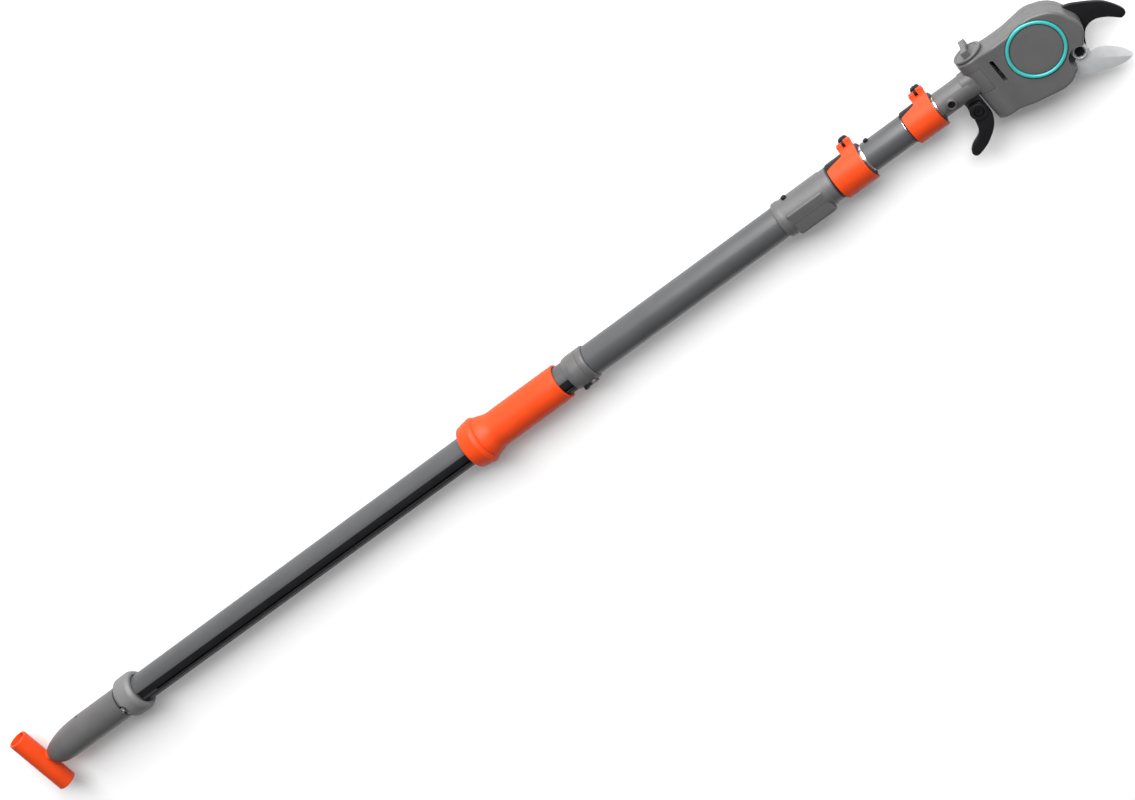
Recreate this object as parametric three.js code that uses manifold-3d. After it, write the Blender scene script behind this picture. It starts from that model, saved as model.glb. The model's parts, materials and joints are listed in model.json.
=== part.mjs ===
// Telescoping pole pruner with a bypass cutting head, millimetres.
// X runs along the pole towards the jaws, Z is up off the ground it lies on.
// Every x below is measured from the middle of the tool's length; y and z in the "pole" group
// are measured from the pole's own axis.
import * as THREE from 'three';
import { mergeVertices } from 'three/addons/utils/BufferGeometryUtils.js';
import Module from 'manifold-3d';

const wasm = await Module();
wasm.setup();

// ---- driving dimensions ----
const axisY = 20.1; // pole axis from the middle of the tool's width
const axisZ = 31.1; // pole axis above the ground: the grip's flange rests on it
const gap = 0.3; // clearance between pieces that touch
const round = 24; // facets round a tube
const fine = 12; // facets round a small pin

const handle = { x: -804.2, radius: 13.25, length: 88, boss: 7.5, bossEnd: -772 };
const cap = { tip: -797, rim: -659, radius: 20.9, wall: 2.4, topTaper: 95, lowTaper: 42 };
const collar = { start: -658.5, end: -624, radius: 27, inner: 19.3 };
const lower = { start: -655, end: 100, radius: 19, inner: 15.9, floor: 17.2 };
const groove = { from: -15, to: 60, middle: 22.5 };
const slot = { start: -600, end: 84, width: 5 };
const grip = { start: -74.5, end: 67.3, flange: axisZ, radius: 22.35, inner: 19.4 };
const joint = { start: 81.3, end: 110.3, radius: 21.7 };
const latch = { angle: 62, start: 86, end: 102, width: 9, pinX: 100.5, pinZ: 21.7, top: 23.6 };
const main = { start: 110.6, end: 472, radius: 19.1, inner: 17.4 };
const ferrule = { start: 388.2, end: 461.7, radius: 21.1, lip: 22.2, neck: 20.3 };
const pad = { start: 399, end: 448, inner: 21.4, outer: 25.4, from: -27, to: 66 };
const middle = { start: 165, end: 568, radius: 16, inner: 14.6 };
const sleeve = { start: 508.5, end: 562, radius: 17.5 };
const inner = { start: 195, end: 628, radius: 13.2, inner: 11.9 };
const neck = { start: 603, radius: 15, tongueRadius: 17.1, tongueLow: -14.2, tongueHigh: 15.1 };
const tilt = { x: 662.2, radius: 17.5, armLow: -51.5, armHigh: 28, bolt: 3.2 };
const knob = { radius: 17, face: 32.5, rib: 40.5 };
const hook = { bossX: 633, bossY: -29.7, bossRadius: 10, low: -2, high: 7.5, shank: 1.9 };
const head = { face: 23, back: 12.5, wall: 2.6, split: 0.15, cavityX: 685 };
const disc = { x: 724.2, y: -3.7, ringInner: 28.2, ringOuter: 32.6, cover: 27.8 };
const pivot = { x: 755.2, y: -41.5, bolt: 4.5, nut: 6.3, nutLow: -12.3, nutHigh: -9.1, ring: 8.2, hollow: 6.2 };
const jawZ = { low: -3.4, high: 1.6 };
const bladeZ = { low: 2, high: 5 };
const gears = { module: 1.2, pinion: 10, wheel: 30, sector: 32 };
const drum = { radius: 26, flange: 27.3, hub: 13, pocket: 11.4, low: 6.2, high: 19.6, plate: 1.5 };
const axle = { radius: 3, low: -11 };
const wheelZ = { low: -8.6, high: -5.4 };
const strap = { width: 14, thickness: 1.4, tailEnd: -430, lowerStart: -56, lowerEnd: 300, upperStart: 330,
  upperEnd: 676 };
const carriage = { start: -60, end: 20, half: 7.5, top: 9, tongueStart: -52, tongueEnd: 12, rivetX: -20 };
const spigot = { start: 62, end: 150, bore: 13.4 };
const neckScrew = { x: 617.5, boss: 6.2, top: 18.4, radius: 3.9, low: 14.8, high: 17.2 };
const beyond = 40; // how far a cutting solid runs past what it cuts

const clamps = [
  {
    name: 'clamp_1', start: 465.7, end: 499.4, shell: 24.2, ring: 21.5, ringStart: 463, ringEnd: 504,
    over: 19.4, stopAt: 473, bore: 16.4, earX: 497, pinY: 31,
  },
  {
    name: 'clamp_2', start: 565.2, end: 599.4, shell: 22, ring: 19.4, ringStart: 563, ringEnd: 600.6,
    over: 16.4, stopAt: 570, bore: 13.6, earX: 593, pinY: 29,
  },
];

// ---- finishes ----
function finish(color, roughness, metalness) {
  return new THREE.MeshStandardMaterial({ color, roughness, metalness });
}
const finishes = {
  orange: finish(0xf2561f, 0.5, 0),
  tube: finish(0x5f6062, 0.45, 0.5),
  grey: finish(0x6a6a6c, 0.6, 0),
  lightGrey: finish(0x8f9092, 0.55, 0),
  black: finish(0x232325, 0.5, 0),
  silver: finish(0xc9cbcd, 0.3, 0.9),
  teal: finish(0x45bfc0, 0.45, 0),
  steel: finish(0x9a9c9f, 0.35, 0.9),
  brass: finish(0xb08d4a, 0.4, 0.8),
  webbing: finish(0x3a3a3c, 0.9, 0),
};

// ---- shape helpers ----
function solidOf(geometry) {
  const bare = geometry.index ? geometry.toNonIndexed() : geometry.clone();
  bare.deleteAttribute('normal');
  bare.deleteAttribute('uv');
  const merged = mergeVertices(bare, 1e-4);
  const triVerts = new Uint32Array(merged.index.array);
  const build = () => new wasm.Manifold(new wasm.Mesh({
    numProp: 3, vertProperties: merged.attributes.position.array, triVerts,
  }));
  const made = build();
  if (made.volume() > 0) return made;
  for (let i = 0; i < triVerts.length; i += 3) {
    [triVerts[i + 1], triVerts[i + 2]] = [triVerts[i + 2], triVerts[i + 1]];
  }
  return build();
}

function geometryOf(solid) {
  const mesh = solid.getMesh();
  const geometry = new THREE.BufferGeometry();
  geometry.setAttribute('position', new THREE.BufferAttribute(mesh.vertProperties, 3));
  geometry.setIndex(new THREE.BufferAttribute(mesh.triVerts, 1));
  geometry.computeVertexNormals();
  return geometry;
}

// A profile of [x, radius] turned about the pole's axis; one that stays off the axis closes on itself.
function turned(profile, facets = round) {
  const closed = profile[0][1] > 0 ? [...profile, profile[0]] : profile;
  const points = closed.map(([x, r]) => new THREE.Vector2(r, x));
  return solidOf(new THREE.LatheGeometry(points, facets).rotateZ(-Math.PI / 2));
}

function sleeveOf(x0, x1, outer, bore, facets = round) {
  return turned([[x0, bore], [x0, outer], [x1, outer], [x1, bore]], facets);
}

function rod(radius, length, facets = fine) {
  return new THREE.CylinderGeometry(radius, radius, length, facets);
}

function rodX(x0, x1, radius, y = 0, z = 0, facets = fine) {
  return solidOf(rod(radius, x1 - x0, facets).rotateZ(-Math.PI / 2).translate((x0 + x1) / 2, y, z));
}

function rodY(y0, y1, radius, x, z = 0, facets = fine) {
  return solidOf(rod(radius, y1 - y0, facets).translate(x, (y0 + y1) / 2, z));
}

function rodZ(z0, z1, radius, x, y, facets = fine) {
  return solidOf(rod(radius, z1 - z0, facets).rotateX(Math.PI / 2).translate(x, y, (z0 + z1) / 2));
}

function block(x0, x1, y0, y1, z0, z1) {
  return solidOf(new THREE.BoxGeometry(x1 - x0, y1 - y0, z1 - z0)
    .translate((x0 + x1) / 2, (y0 + y1) / 2, (z0 + z1) / 2));
}

// An outline in X and Y pulled up from z0 to z1; grow moves its sides out, bevel rounds its edges.
function plate(shape, z0, z1, { grow = 0, bevel = 0, curve = 4 } = {}) {
  const soft = bevel > 0 || grow !== 0;
  const geometry = new THREE.ExtrudeGeometry(shape, {
    depth: z1 - z0 - 2 * bevel,
    bevelEnabled: soft,
    bevelThickness: bevel,
    bevelSize: bevel,
    bevelOffset: grow - bevel,
    bevelSegments: 1,
    curveSegments: curve,
  });
  return solidOf(geometry.translate(0, 0, z0 + bevel));
}

// A section in Y and Z pulled along the pole; the section's own x is -Z and its y is Y.
function section(shape, x0, x1, bevel = 0) {
  const geometry = new THREE.ExtrudeGeometry(shape, {
    depth: x1 - x0 - 2 * bevel,
    bevelEnabled: bevel > 0,
    bevelThickness: bevel,
    bevelSize: bevel,
    bevelOffset: -bevel,
    bevelSegments: 1,
    curveSegments: 9,
  });
  return solidOf(geometry.rotateY(Math.PI / 2).translate(x0 + bevel, 0, 0));
}

// Angles round the pole are degrees from straight up, growing towards -Y.
const sectionAngle = (degrees) => THREE.MathUtils.degToRad(degrees + 180);

function ringSector(r0, r1, from, to) {
  const shape = new THREE.Shape();
  shape.absarc(0, 0, r1, sectionAngle(from), sectionAngle(to), false);
  shape.absarc(0, 0, r0, sectionAngle(to), sectionAngle(from), true);
  return shape;
}

// A flat length of the strap between two places on the pole, wider by room all round.
function strapLength(x0, x1, room = 0, level = 0) {
  const halfWidth = strap.width / 2 + room;
  const halfThick = strap.thickness / 2 + room;
  return block(x0, x1, -halfWidth, halfWidth, level - halfThick, level + halfThick);
}

// Turns a solid made on top of the pole (+Z side) round the pole's axis.
const aroundPole = (solid, degrees) => solid.rotate([degrees, 0, 0]);

function smoothOutline(points) {
  const curve = new THREE.SplineCurve(points.map(([x, y]) => new THREE.Vector2(x, y)));
  return curve.getPoints(points.length * 2);
}

function outline(points) {
  return new THREE.Shape(points.map((p) => (Array.isArray(p) ? new THREE.Vector2(p[0], p[1]) : p)));
}

const pieces = new THREE.Group();
pieces.position.set(0, axisY, axisZ);
function add(name, solid, material) {
  const mesh = new THREE.Mesh(geometryOf(solid), material);
  mesh.name = name;
  pieces.add(mesh);
}

// ---- T-handle at the foot, with the strap's tail ----
function tHandle() {
  const half = handle.length / 2;
  const recess = 18;
  const wall = 3;
  const pin = 1.5;
  const pinX = handle.bossEnd - 8;
  const strapStart = handle.x + 15;
  const bar = rodY(-half, half, handle.radius, handle.x, 0, round);
  const hollows = rodY(half - recess, half + 1, handle.radius - wall, handle.x)
    .add(rodY(-half - 1, -half + recess, handle.radius - wall, handle.x));
  const boss = rodX(handle.x, handle.bossEnd, handle.boss);
  const strapSlot = strapLength(strapStart - 1, handle.bossEnd + 1, gap);
  const pinHole = rodZ(-beyond, beyond, pin + 0.25, pinX, 0);
  const gripped = bar.subtract(hollows).add(boss).subtract(strapSlot).subtract(pinHole);
  add('t_handle_grip', gripped, finishes.orange);
  add('t_handle_pin', rodZ(-handle.boss + 0.5, handle.boss - 0.5, pin, pinX, 0), finishes.steel);
  const tail = strapLength(strapStart, strap.tailEnd);
  add('strap_tail', tail.subtract(rodZ(-beyond, beyond, pin + gap, pinX, 0)), finishes.webbing);
}

// ---- end cap: round at the rim, its top drawn down in a long curve to the nose ----
function capRing(x, inset) {
  const up = Math.max(0, (cap.tip + cap.topTaper - x) / cap.topTaper);
  const down = Math.max(0, (cap.tip + cap.lowTaper - x) / cap.lowTaper);
  const high = cap.radius * Math.sqrt(1 - up ** 2);
  const low = cap.radius * (1 - down ** 2.6) ** (1 / 2.6);
  const halfY = Math.max((high + low) / 2 - inset, 0.4);
  const halfZ = Math.max(cap.radius * Math.sqrt(1 - (0.55 * up + 0.45 * down) ** 2) - inset, 0.4);
  const middleY = (high - low) / 2;
  return Array.from({ length: round }, (_, i) => {
    const a = (i / round) * 2 * Math.PI;
    return [x, middleY + halfY * Math.cos(a), halfZ * Math.sin(a)];
  });
}

function loft(rings) {
  const count = rings[0].length;
  const middleOf = (ring) => [0, 1, 2].map((k) => ring.reduce((sum, p) => sum + p[k], 0) / count);
  const vertices = [...rings.flat(), middleOf(rings[0]), middleOf(rings.at(-1))];
  const faces = [];
  for (let r = 0; r + 1 < rings.length; r += 1) {
    for (let i = 0; i < count; i += 1) {
      const a = r * count + i;
      const b = r * count + ((i + 1) % count);
      faces.push(a, b, a + count, b, b + count, a + count);
    }
  }
  const last = (rings.length - 1) * count;
  for (let i = 0; i < count; i += 1) {
    const next = (i + 1) % count;
    faces.push(rings.length * count, next, i, rings.length * count + 1, last + i, last + next);
  }
  const geometry = new THREE.BufferGeometry();
  geometry.setAttribute('position', new THREE.Float32BufferAttribute(vertices.flat(), 3));
  geometry.setIndex(faces);
  return solidOf(geometry);
}

function endCap() {
  const length = cap.rim - cap.tip;
  const steps = [0.002, 0.02, 0.06, 0.12, 0.2, 0.3, 0.45, 0.65, 1];
  const outside = loft(steps.map((s) => capRing(cap.tip + s * length, 0)));
  const hollow = loft([0.26, 0.4, 0.65, 1.01].map((s) => capRing(cap.tip + s * length, cap.wall)));
  const seat = rodY(-beyond, beyond, handle.radius + gap, handle.x, 0, round);
  const mouth = rodX(cap.tip - 5, cap.tip + 45, handle.boss + gap);
  const screwHole = rodZ(10, beyond, 1.9, cap.rim - 5, 0);
  const cut = outside.subtract(hollow).subtract(seat).subtract(mouth).subtract(screwHole);
  add('end_cap', cut, finishes.grey);
}

// ---- rounded collar between the end cap and the lower tube, with its screw ----
function endCollar() {
  const edge = 3;
  const seat = collar.inner + gap;
  const screw = { x: collar.start + 6.5, boss: 4.6, top: 24, hole: 2.2, shank: 1.9 };
  const notchHalf = 7;
  const ring = turned([
    [collar.start, cap.radius - 1.4], [collar.start, collar.radius - 2 * edge],
    [collar.start + edge, collar.radius - 1.5], [collar.start + 4 * edge, collar.radius],
    [collar.end - 2 * edge, collar.radius], [collar.end - edge / 2, collar.radius - 1.5],
    [collar.end, collar.radius - edge], [collar.end, collar.inner],
    [collar.start + 2, collar.inner],
  ]);
  const notch = block(collar.start - 1, collar.start + 12, -notchHalf, notchHalf, seat - 1.6, beyond);
  const boss = rodZ(seat - 1.6, screw.top, screw.boss, screw.x, 0);
  const hole = rodZ(seat - 4, beyond, screw.hole, screw.x, 0);
  const bridge = block(screw.x, collar.start + 14, -notchHalf / 2, notchHalf / 2, seat, screw.top - 2);
  const kept = block(collar.start, 0, -beyond, beyond, seat, screw.top);
  const bossed = ring.subtract(notch).add(boss.add(bridge).intersect(kept));
  add('end_collar', bossed.subtract(hole), finishes.lightGrey);
  add('collar_screw', rodZ(seat, screw.top - 1.4, screw.shank, screw.x, 0), finishes.steel);
}

// ---- lower tube with the slot that the grip's carriage runs in ----
function lowerTube() {
  const tube = new THREE.Shape();
  const from = sectionAngle(groove.from);
  const to = sectionAngle(groove.to);
  tube.absarc(0, 0, lower.radius, to, from + 2 * Math.PI, false);
  tube.absarc(0, 0, lower.floor, from, to, false);
  tube.holes.push(new THREE.Path().absarc(0, 0, lower.inner, 0, 2 * Math.PI, true));
  const opening = block(slot.start, slot.end, -slot.width / 2, slot.width / 2, lower.inner - 4, beyond);
  const cut = aroundPole(opening, groove.middle);
  add('lower_tube', section(tube, lower.start, lower.end).subtract(cut), finishes.tube);

  const margin = 1.2;
  const low = lower.floor + 0.1;
  const liner = ringSector(low, lower.floor + 1, groove.from + margin, groove.to - margin);
  add('slot_liner', section(liner, collar.end + 1, joint.start - 1).subtract(cut), finishes.black);
}

// ---- sliding grip, its carriage and the strap it pulls ----
function slidingGrip() {
  const blend = new THREE.SplineCurve([
    [-46, 30.9], [-41, 29.2], [-36, 26.2], [-29, 23.9], [-20, 22.7], [-10, grip.radius],
  ].map(([x, r]) => new THREE.Vector2(x, r))).getPoints(7).map((p) => [p.x, p.y]);
  const edge = 0.8;
  add('grip_sleeve', turned([
    [grip.start, grip.inner], [grip.start, 26.4], [grip.start + 1.5, 28.2], [-62, 30.2], [-52, grip.flange],
    ...blend, [grip.end - edge, grip.radius], [grip.end, grip.radius - edge], [grip.end, grip.inner],
  ], 32), finishes.orange);

  const rest = strap.thickness / 2 + gap;
  const tongueHalf = slot.width / 2 - gap;
  const body = block(carriage.start, carriage.end, -carriage.half, carriage.half, rest, carriage.top)
    .add(block(carriage.tongueStart, carriage.tongueEnd, -tongueHalf, tongueHalf, 5, grip.inner - 1));
  const rivetHole = rodZ(-9, 12, 2.2, carriage.rivetX, 0);
  add('grip_carriage', aroundPole(body.subtract(rivetHole), groove.middle), finishes.black);
  const pulled = strapLength(strap.lowerStart, strap.lowerEnd);
  add('strap_lower', aroundPole(pulled, groove.middle), finishes.webbing);
}

// ---- joint between the lower and the main tube, with its latch ----
function tubeJoint() {
  const edge = 1.2;
  const bore = lower.radius + gap;
  const ring = turned([
    [joint.start, bore], [joint.start, joint.radius - edge], [joint.start + edge, joint.radius],
    [joint.end - edge, joint.radius], [joint.end, joint.radius - edge], [joint.end, bore],
  ]);
  const half = latch.width / 2;
  const pin = 1.1;
  const cheek = 2.6;
  // the far end has room for the latch's top corner, which swings past it
  const pocket = block(latch.start - gap, latch.end + 3 * gap, -half - gap, half + gap, lower.radius, beyond);
  const pinHole = rodY(-half - cheek - 1, half + cheek + 1, pin + 0.2, latch.pinX, latch.pinZ);
  const cheeks = block(latch.pinX - 3, latch.pinX + 3.5, -half - cheek, half + cheek, 19.6, latch.top);
  const room = aroundPole(pocket.add(pinHole), latch.angle);
  const body = ring.add(aroundPole(cheeks, latch.angle)).subtract(room);
  add('joint_collar', body, finishes.grey);

  const lever = block(latch.start, latch.end, -half, half, lower.radius + 2 * gap, latch.top)
    .add(block(latch.start, latch.start + 5, -half, half, 21, latch.top + 1.5))
    .subtract(rodY(-half - 1, half + 1, pin + 0.25, latch.pinX, latch.pinZ));
  add('joint_latch', aroundPole(lever, latch.angle), finishes.black);
  const pinRod = rodY(-half - cheek + 0.2, half + cheek - 0.2, pin, latch.pinX, latch.pinZ);
  add('latch_pin', aroundPole(pinRod, latch.angle), finishes.steel);

  add('joint_spigot', turned([
    [spigot.start, spigot.bore], [spigot.start, lower.inner - gap], [lower.end + gap, lower.inner - gap],
    [lower.end + gap, main.inner - gap], [spigot.end, main.inner - gap], [spigot.end, spigot.bore],
  ]), finishes.black);
}

// ---- main tube and the ferrule with its raised pad ----
function mainTube() {
  add('main_tube', sleeveOf(main.start, main.end, main.radius, main.inner), finishes.tube);
  const edge = 1.5;
  const bore = main.radius + 0.1;
  const neckStart = ferrule.end - 7.7;
  add('tube_ferrule', turned([
    [ferrule.start, bore], [ferrule.start, ferrule.lip - edge], [ferrule.start + edge, ferrule.lip],
    [ferrule.start + 5, ferrule.lip], [ferrule.start + 8, ferrule.radius], [neckStart - 3, ferrule.radius],
    [neckStart, ferrule.neck], [ferrule.end, ferrule.neck], [ferrule.end, bore],
  ]), finishes.grey);
  add('ferrule_pad', section(ringSector(pad.inner, pad.outer, pad.from, pad.to), pad.start, pad.end, 1.6),
    finishes.grey);
  add('ferrule_button', rodY(21.3, 24.2, 3.2, ferrule.start + 19, 1.5), finishes.black);
}

// ---- a lever clamp: split ring, lever with a forked ear, eyebolt and pin ----
function leverClamp(c) {
  const lug = { x0: c.earX - 8, x1: c.earX + 8, y1: c.pinY + 4 };
  const eye = { half: 2.7, radius: 3 };
  const ring = turned([
    [c.ringStart, c.over], [c.ringStart, c.ring - 1], [c.ringStart + 1, c.ring], [c.ringEnd - 1, c.ring],
    [c.ringEnd, c.ring - 1], [c.ringEnd, c.bore], [c.stopAt, c.bore], [c.stopAt, c.over],
  ]);
  const lugs = block(lug.x0, lug.x1, c.ring - 4, lug.y1, -12, -4.2);
  const split = block(c.ringStart + 6, c.ringEnd + 1, c.bore - 3, lug.y1 + 1, -8.8, -7.4);
  const boltHole = rodZ(-14, 0, 2.2, c.earX, c.pinY);
  const bored = ring.add(lugs.subtract(sleeveOf(c.ringStart, c.ringEnd, c.ring - 1, 1)))
    .subtract(split).subtract(boltHole);
  const tubeRoom = rodX(c.ringStart - 1, c.ringEnd + 1, c.bore);
  add(`${c.name}_ring`, bored.subtract(tubeRoom), finishes.black);

  const shell = section(ringSector(c.ring + gap, c.shell, -80, 88), c.start, c.end, 0.6);
  // below the pin's height a prong stays near the pin, so that it clears the ring as it swings past
  const prong = (x0, x1) => rodX(x0, x1, 3.6, c.pinY, 0)
    .add(block(x0, x1, c.ring + 0.95, c.pinY, -3.4, 0.2))
    .add(block(x0, x1, c.ring - 2, c.pinY, 0, 4.6)
      .subtract(sleeveOf(c.ringStart, c.ringEnd + 20, c.ring + gap, 1)));
  const fork = prong(c.earX - 9, c.earX - eye.half - gap).add(prong(c.earX + eye.half + gap, c.earX + 8.5));
  const bridge = block(c.earX - 9, c.earX + 8.5, c.ring - 2, c.ring + 5, 1, 6.5)
    .subtract(sleeveOf(c.ringStart, c.ringEnd + 20, c.ring + gap, 1));
  const pinHole = rodX(c.earX - 20, c.earX + 20, 1.8, c.pinY, 0);
  const web = shell.add(fork).add(bridge).subtract(pinHole);
  const ringRoom = rodX(c.earX - 20, c.earX + 20, c.ring + gap, 0, 0, round);
  add(`${c.name}_lever`, web.subtract(ringRoom), finishes.orange);

  const bolt = rodX(c.earX - eye.half, c.earX + eye.half, eye.radius, c.pinY, 0)
    .add(rodZ(-17, 0, 1.9, c.earX, c.pinY)).subtract(rodX(c.earX - 5, c.earX + 5, 1.75, c.pinY, 0));
  add(`${c.name}_eyebolt`, bolt, finishes.black);
  const nut = rodZ(-15.6, -12.3, 3.6, c.earX, c.pinY, 6).subtract(rodZ(-18, 0, 2.2, c.earX, c.pinY));
  add(`${c.name}_nut`, nut, finishes.steel);
  add(`${c.name}_pin`, rodX(c.earX - 8.6, c.earX + 8.1, 1.5, c.pinY, 0), finishes.black);
}

// ---- the two inner tubes ----
function innerTubes() {
  add('middle_tube', sleeveOf(middle.start, middle.end, middle.radius, middle.inner), finishes.silver);
  const edge = 1;
  add('middle_ferrule', turned([
    [sleeve.start, middle.radius + 0.1], [sleeve.start, sleeve.radius - edge],
    [sleeve.start + edge, sleeve.radius], [sleeve.end, sleeve.radius], [sleeve.end, middle.radius + 0.1],
  ]), finishes.tube);
  const button = rodY(sleeve.radius + 0.2, sleeve.radius + 3, 2.8, sleeve.start + 9, 0);
  add('middle_button', button, finishes.black);
  add('inner_tube', sleeveOf(inner.start, inner.end, inner.radius, inner.inner), finishes.silver);
}

// ---- neck with the tilt tongue, then the branch hook on its side ----
function tiltNeck() {
  const edge = 1.5;
  const socket = turned([
    [neck.start, 0], [neck.start, neck.radius - edge], [neck.start + edge, neck.radius],
    [640, neck.radius], [650, 14], [650, 0],
  ]);
  const middleY = (neck.tongueLow + neck.tongueHigh) / 2;
  const halfY = (neck.tongueHigh - neck.tongueLow) / 2;
  const cheek = block(636, tilt.x, middleY - halfY, middleY + halfY, -13, 13);
  const tongue = rodY(neck.tongueLow, neck.tongueHigh, neck.tongueRadius, tilt.x, 0, 32);
  const boss = rodZ(8, neckScrew.top, neckScrew.boss, neckScrew.x, 0);
  const lugLow = -9;
  const lugHalf = 9;
  const lug = block(hook.bossX - lugHalf, hook.bossX + lugHalf, hook.bossY, -10, lugLow, hook.low - gap)
    .add(rodZ(lugLow, hook.low - gap, lugHalf, hook.bossX, hook.bossY));
  const hollow = rodX(neck.start - 1, inner.end + 0.4, inner.radius + 0.1, 0, 0, round)
    .add(block(inner.end, tilt.x + 30, -8, 8, -9, 9))
    .add(rodY(-beyond, beyond, tilt.bolt + 0.25, tilt.x))
    .add(rodZ(9, beyond, 2.4, neckScrew.x, 0))
    .add(rodZ(neckScrew.low - gap, beyond, neckScrew.radius + gap, neckScrew.x, 0))
    .add(rodZ(-12, 8, hook.shank + gap, hook.bossX, hook.bossY));
  const body = socket.add(cheek).add(tongue).add(boss).add(lug).subtract(hollow);
  add('neck', body, finishes.grey);
  const screwHead = rodZ(neckScrew.low, neckScrew.high, neckScrew.radius, neckScrew.x, 0)
    .subtract(rodZ(neckScrew.low + 1, beyond, 2, neckScrew.x, 0, 6));
  add('neck_screw', screwHead, finishes.black);
}

function branchHook() {
  const edge = 1.5;
  const recessFloor = 4;
  const headRadius = 5.4;
  const arm = outline(smoothOutline([
    [625, -22], [622.5, -40], [617, -52], [604, -59], [598, -66], [600.5, -71.5], [606, -71.5],
    [618.7, -67], [633, -57], [641, -46], [643.2, -34], [641, -22], [633, -19.6], [627, -20],
  ]));
  const hookBody = plate(arm, hook.low, hook.high - edge, { bevel: edge })
    .add(rodZ(hook.low, hook.high + edge, hook.bossRadius, hook.bossX, hook.bossY));
  const screwRoom = rodZ(hook.low - 1, beyond, hook.shank + gap, hook.bossX, hook.bossY)
    .add(rodZ(recessFloor, beyond, headRadius + 0.6, hook.bossX, hook.bossY));
  const neckRoom = rodX(neck.start, neck.start + 50, neck.radius + gap);
  add('branch_hook', hookBody.subtract(screwRoom).subtract(neckRoom), finishes.black);
  const screw = rodZ(recessFloor + 0.2, hook.high, headRadius, hook.bossX, hook.bossY)
    .add(rodZ(-9, recessFloor + 1, hook.shank, hook.bossX, hook.bossY));
  const socket = rodZ(recessFloor + 1.8, beyond, 2.5, hook.bossX, hook.bossY, 6);
  add('hook_screw', screw.subtract(socket), finishes.black);
}

// ---- head shells ----
function headOutline() {
  const shape = new THREE.Shape();
  shape.moveTo(tilt.x - 22, tilt.armLow);
  shape.lineTo(672, tilt.armLow);
  shape.lineTo(712, -58.6);
  shape.quadraticCurveTo(730, -62.5, 741, -53);
  shape.lineTo(762, -36.5);
  shape.lineTo(775.5, -21);
  shape.quadraticCurveTo(782.5, -12, 777, -1);
  shape.quadraticCurveTo(764, 24, 744, 29.6);
  shape.quadraticCurveTo(738, 31.2, 728, 31);
  shape.lineTo(690, 31);
  shape.lineTo(681, tilt.armHigh);
  shape.lineTo(tilt.x - 22, tilt.armHigh);
  return shape;
}

function headProfile() {
  // seen from the side: a round barrel at the tilt axis that runs out into two flat faces
  const shape = new THREE.Shape();
  const meet = THREE.MathUtils.degToRad(100);
  shape.absarc(tilt.x, 0, tilt.radius, meet, -meet + 2 * Math.PI, false);
  shape.lineTo(700, -head.back);
  shape.lineTo(800, -head.back);
  shape.lineTo(800, head.face);
  shape.lineTo(700, head.face);
  return shape;
}

function alongY(shape, y0, y1) {
  const options = { depth: y1 - y0, bevelEnabled: false, curveSegments: 20 };
  const geometry = new THREE.ExtrudeGeometry(shape, options);
  return solidOf(geometry.rotateX(Math.PI / 2).translate(0, y1, 0));
}

function jawOutline() {
  const beak = smoothOutline([
    [766, 8], [775.5, 7.4], [786.2, 1.3], [796.4, -5.5], [805.8, -13.5], [813.1, -24.3], [817.2, -33.7],
    [816.4, -39.4], [810.5, -41], [805.1, -36.1], [798.6, -30.3], [789, -24.9], [779.9, -24.7],
    [773.2, -28.1], [768.6, -34], [765, -41],
  ]);
  const root = smoothOutline([[763, -45], [757, -50], [749, -48], [746, -40], [752.5, -22], [757, -4]]);
  return outline([...beak, ...root]);
}

function bladeOutline() {
  return outline(smoothOutline([
    [763.5, -44], [764.2, -50], [769.2, -51.1], [774.2, -52.6], [782.2, -58.4], [790.9, -67.6],
    [796.2, -77.3], [796, -82], [787.2, -83.9], [773.8, -81.5], [761.6, -77.3], [750.1, -72.1],
    [740.1, -64.6], [738.4, -60.1], [742, -54], [748, -46],
  ]));
}

function gearCentre() {
  const dx = pivot.x - disc.x;
  const dy = pivot.y - disc.y;
  const span = Math.hypot(dx, dy);
  const near = (gears.pinion + gears.wheel) * gears.module / 2;
  const far = (gears.pinion + gears.sector) * gears.module / 2;
  const along = (near ** 2 - far ** 2 + span ** 2) / (2 * span);
  const aside = Math.sqrt(near ** 2 - along ** 2);
  return { x: disc.x + (dx * along + dy * aside) / span, y: disc.y + (dy * along - dx * aside) / span };
}

// A gear's outline: straight-flanked teeth, thinner than half the pitch so that a pair runs free.
function gearOutline(cx, cy, teeth, phase, count = teeth, inside = 0) {
  const pitchRadius = teeth * gears.module / 2;
  const tip = pitchRadius + 0.75 * gears.module;
  const rootRadius = pitchRadius - 1.05 * gears.module;
  const step = 2 * Math.PI / teeth;
  const at = (r, a) => [cx + r * Math.cos(a), cy + r * Math.sin(a)];
  const points = [];
  for (let i = 0; i < count; i += 1) {
    const middle = phase + i * step;
    points.push(at(rootRadius, middle - 0.25 * step), at(tip, middle - 0.1 * step));
    points.push(at(tip, middle + 0.1 * step), at(rootRadius, middle + 0.25 * step));
  }
  if (count < teeth) {
    points.push(at(inside, phase + (count - 0.5) * step), at(inside, phase - 0.5 * step));
  }
  return outline(points);
}

const screwPosts = [[692, 24], [692, -46], [750, 18], [722, -52]];

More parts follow.
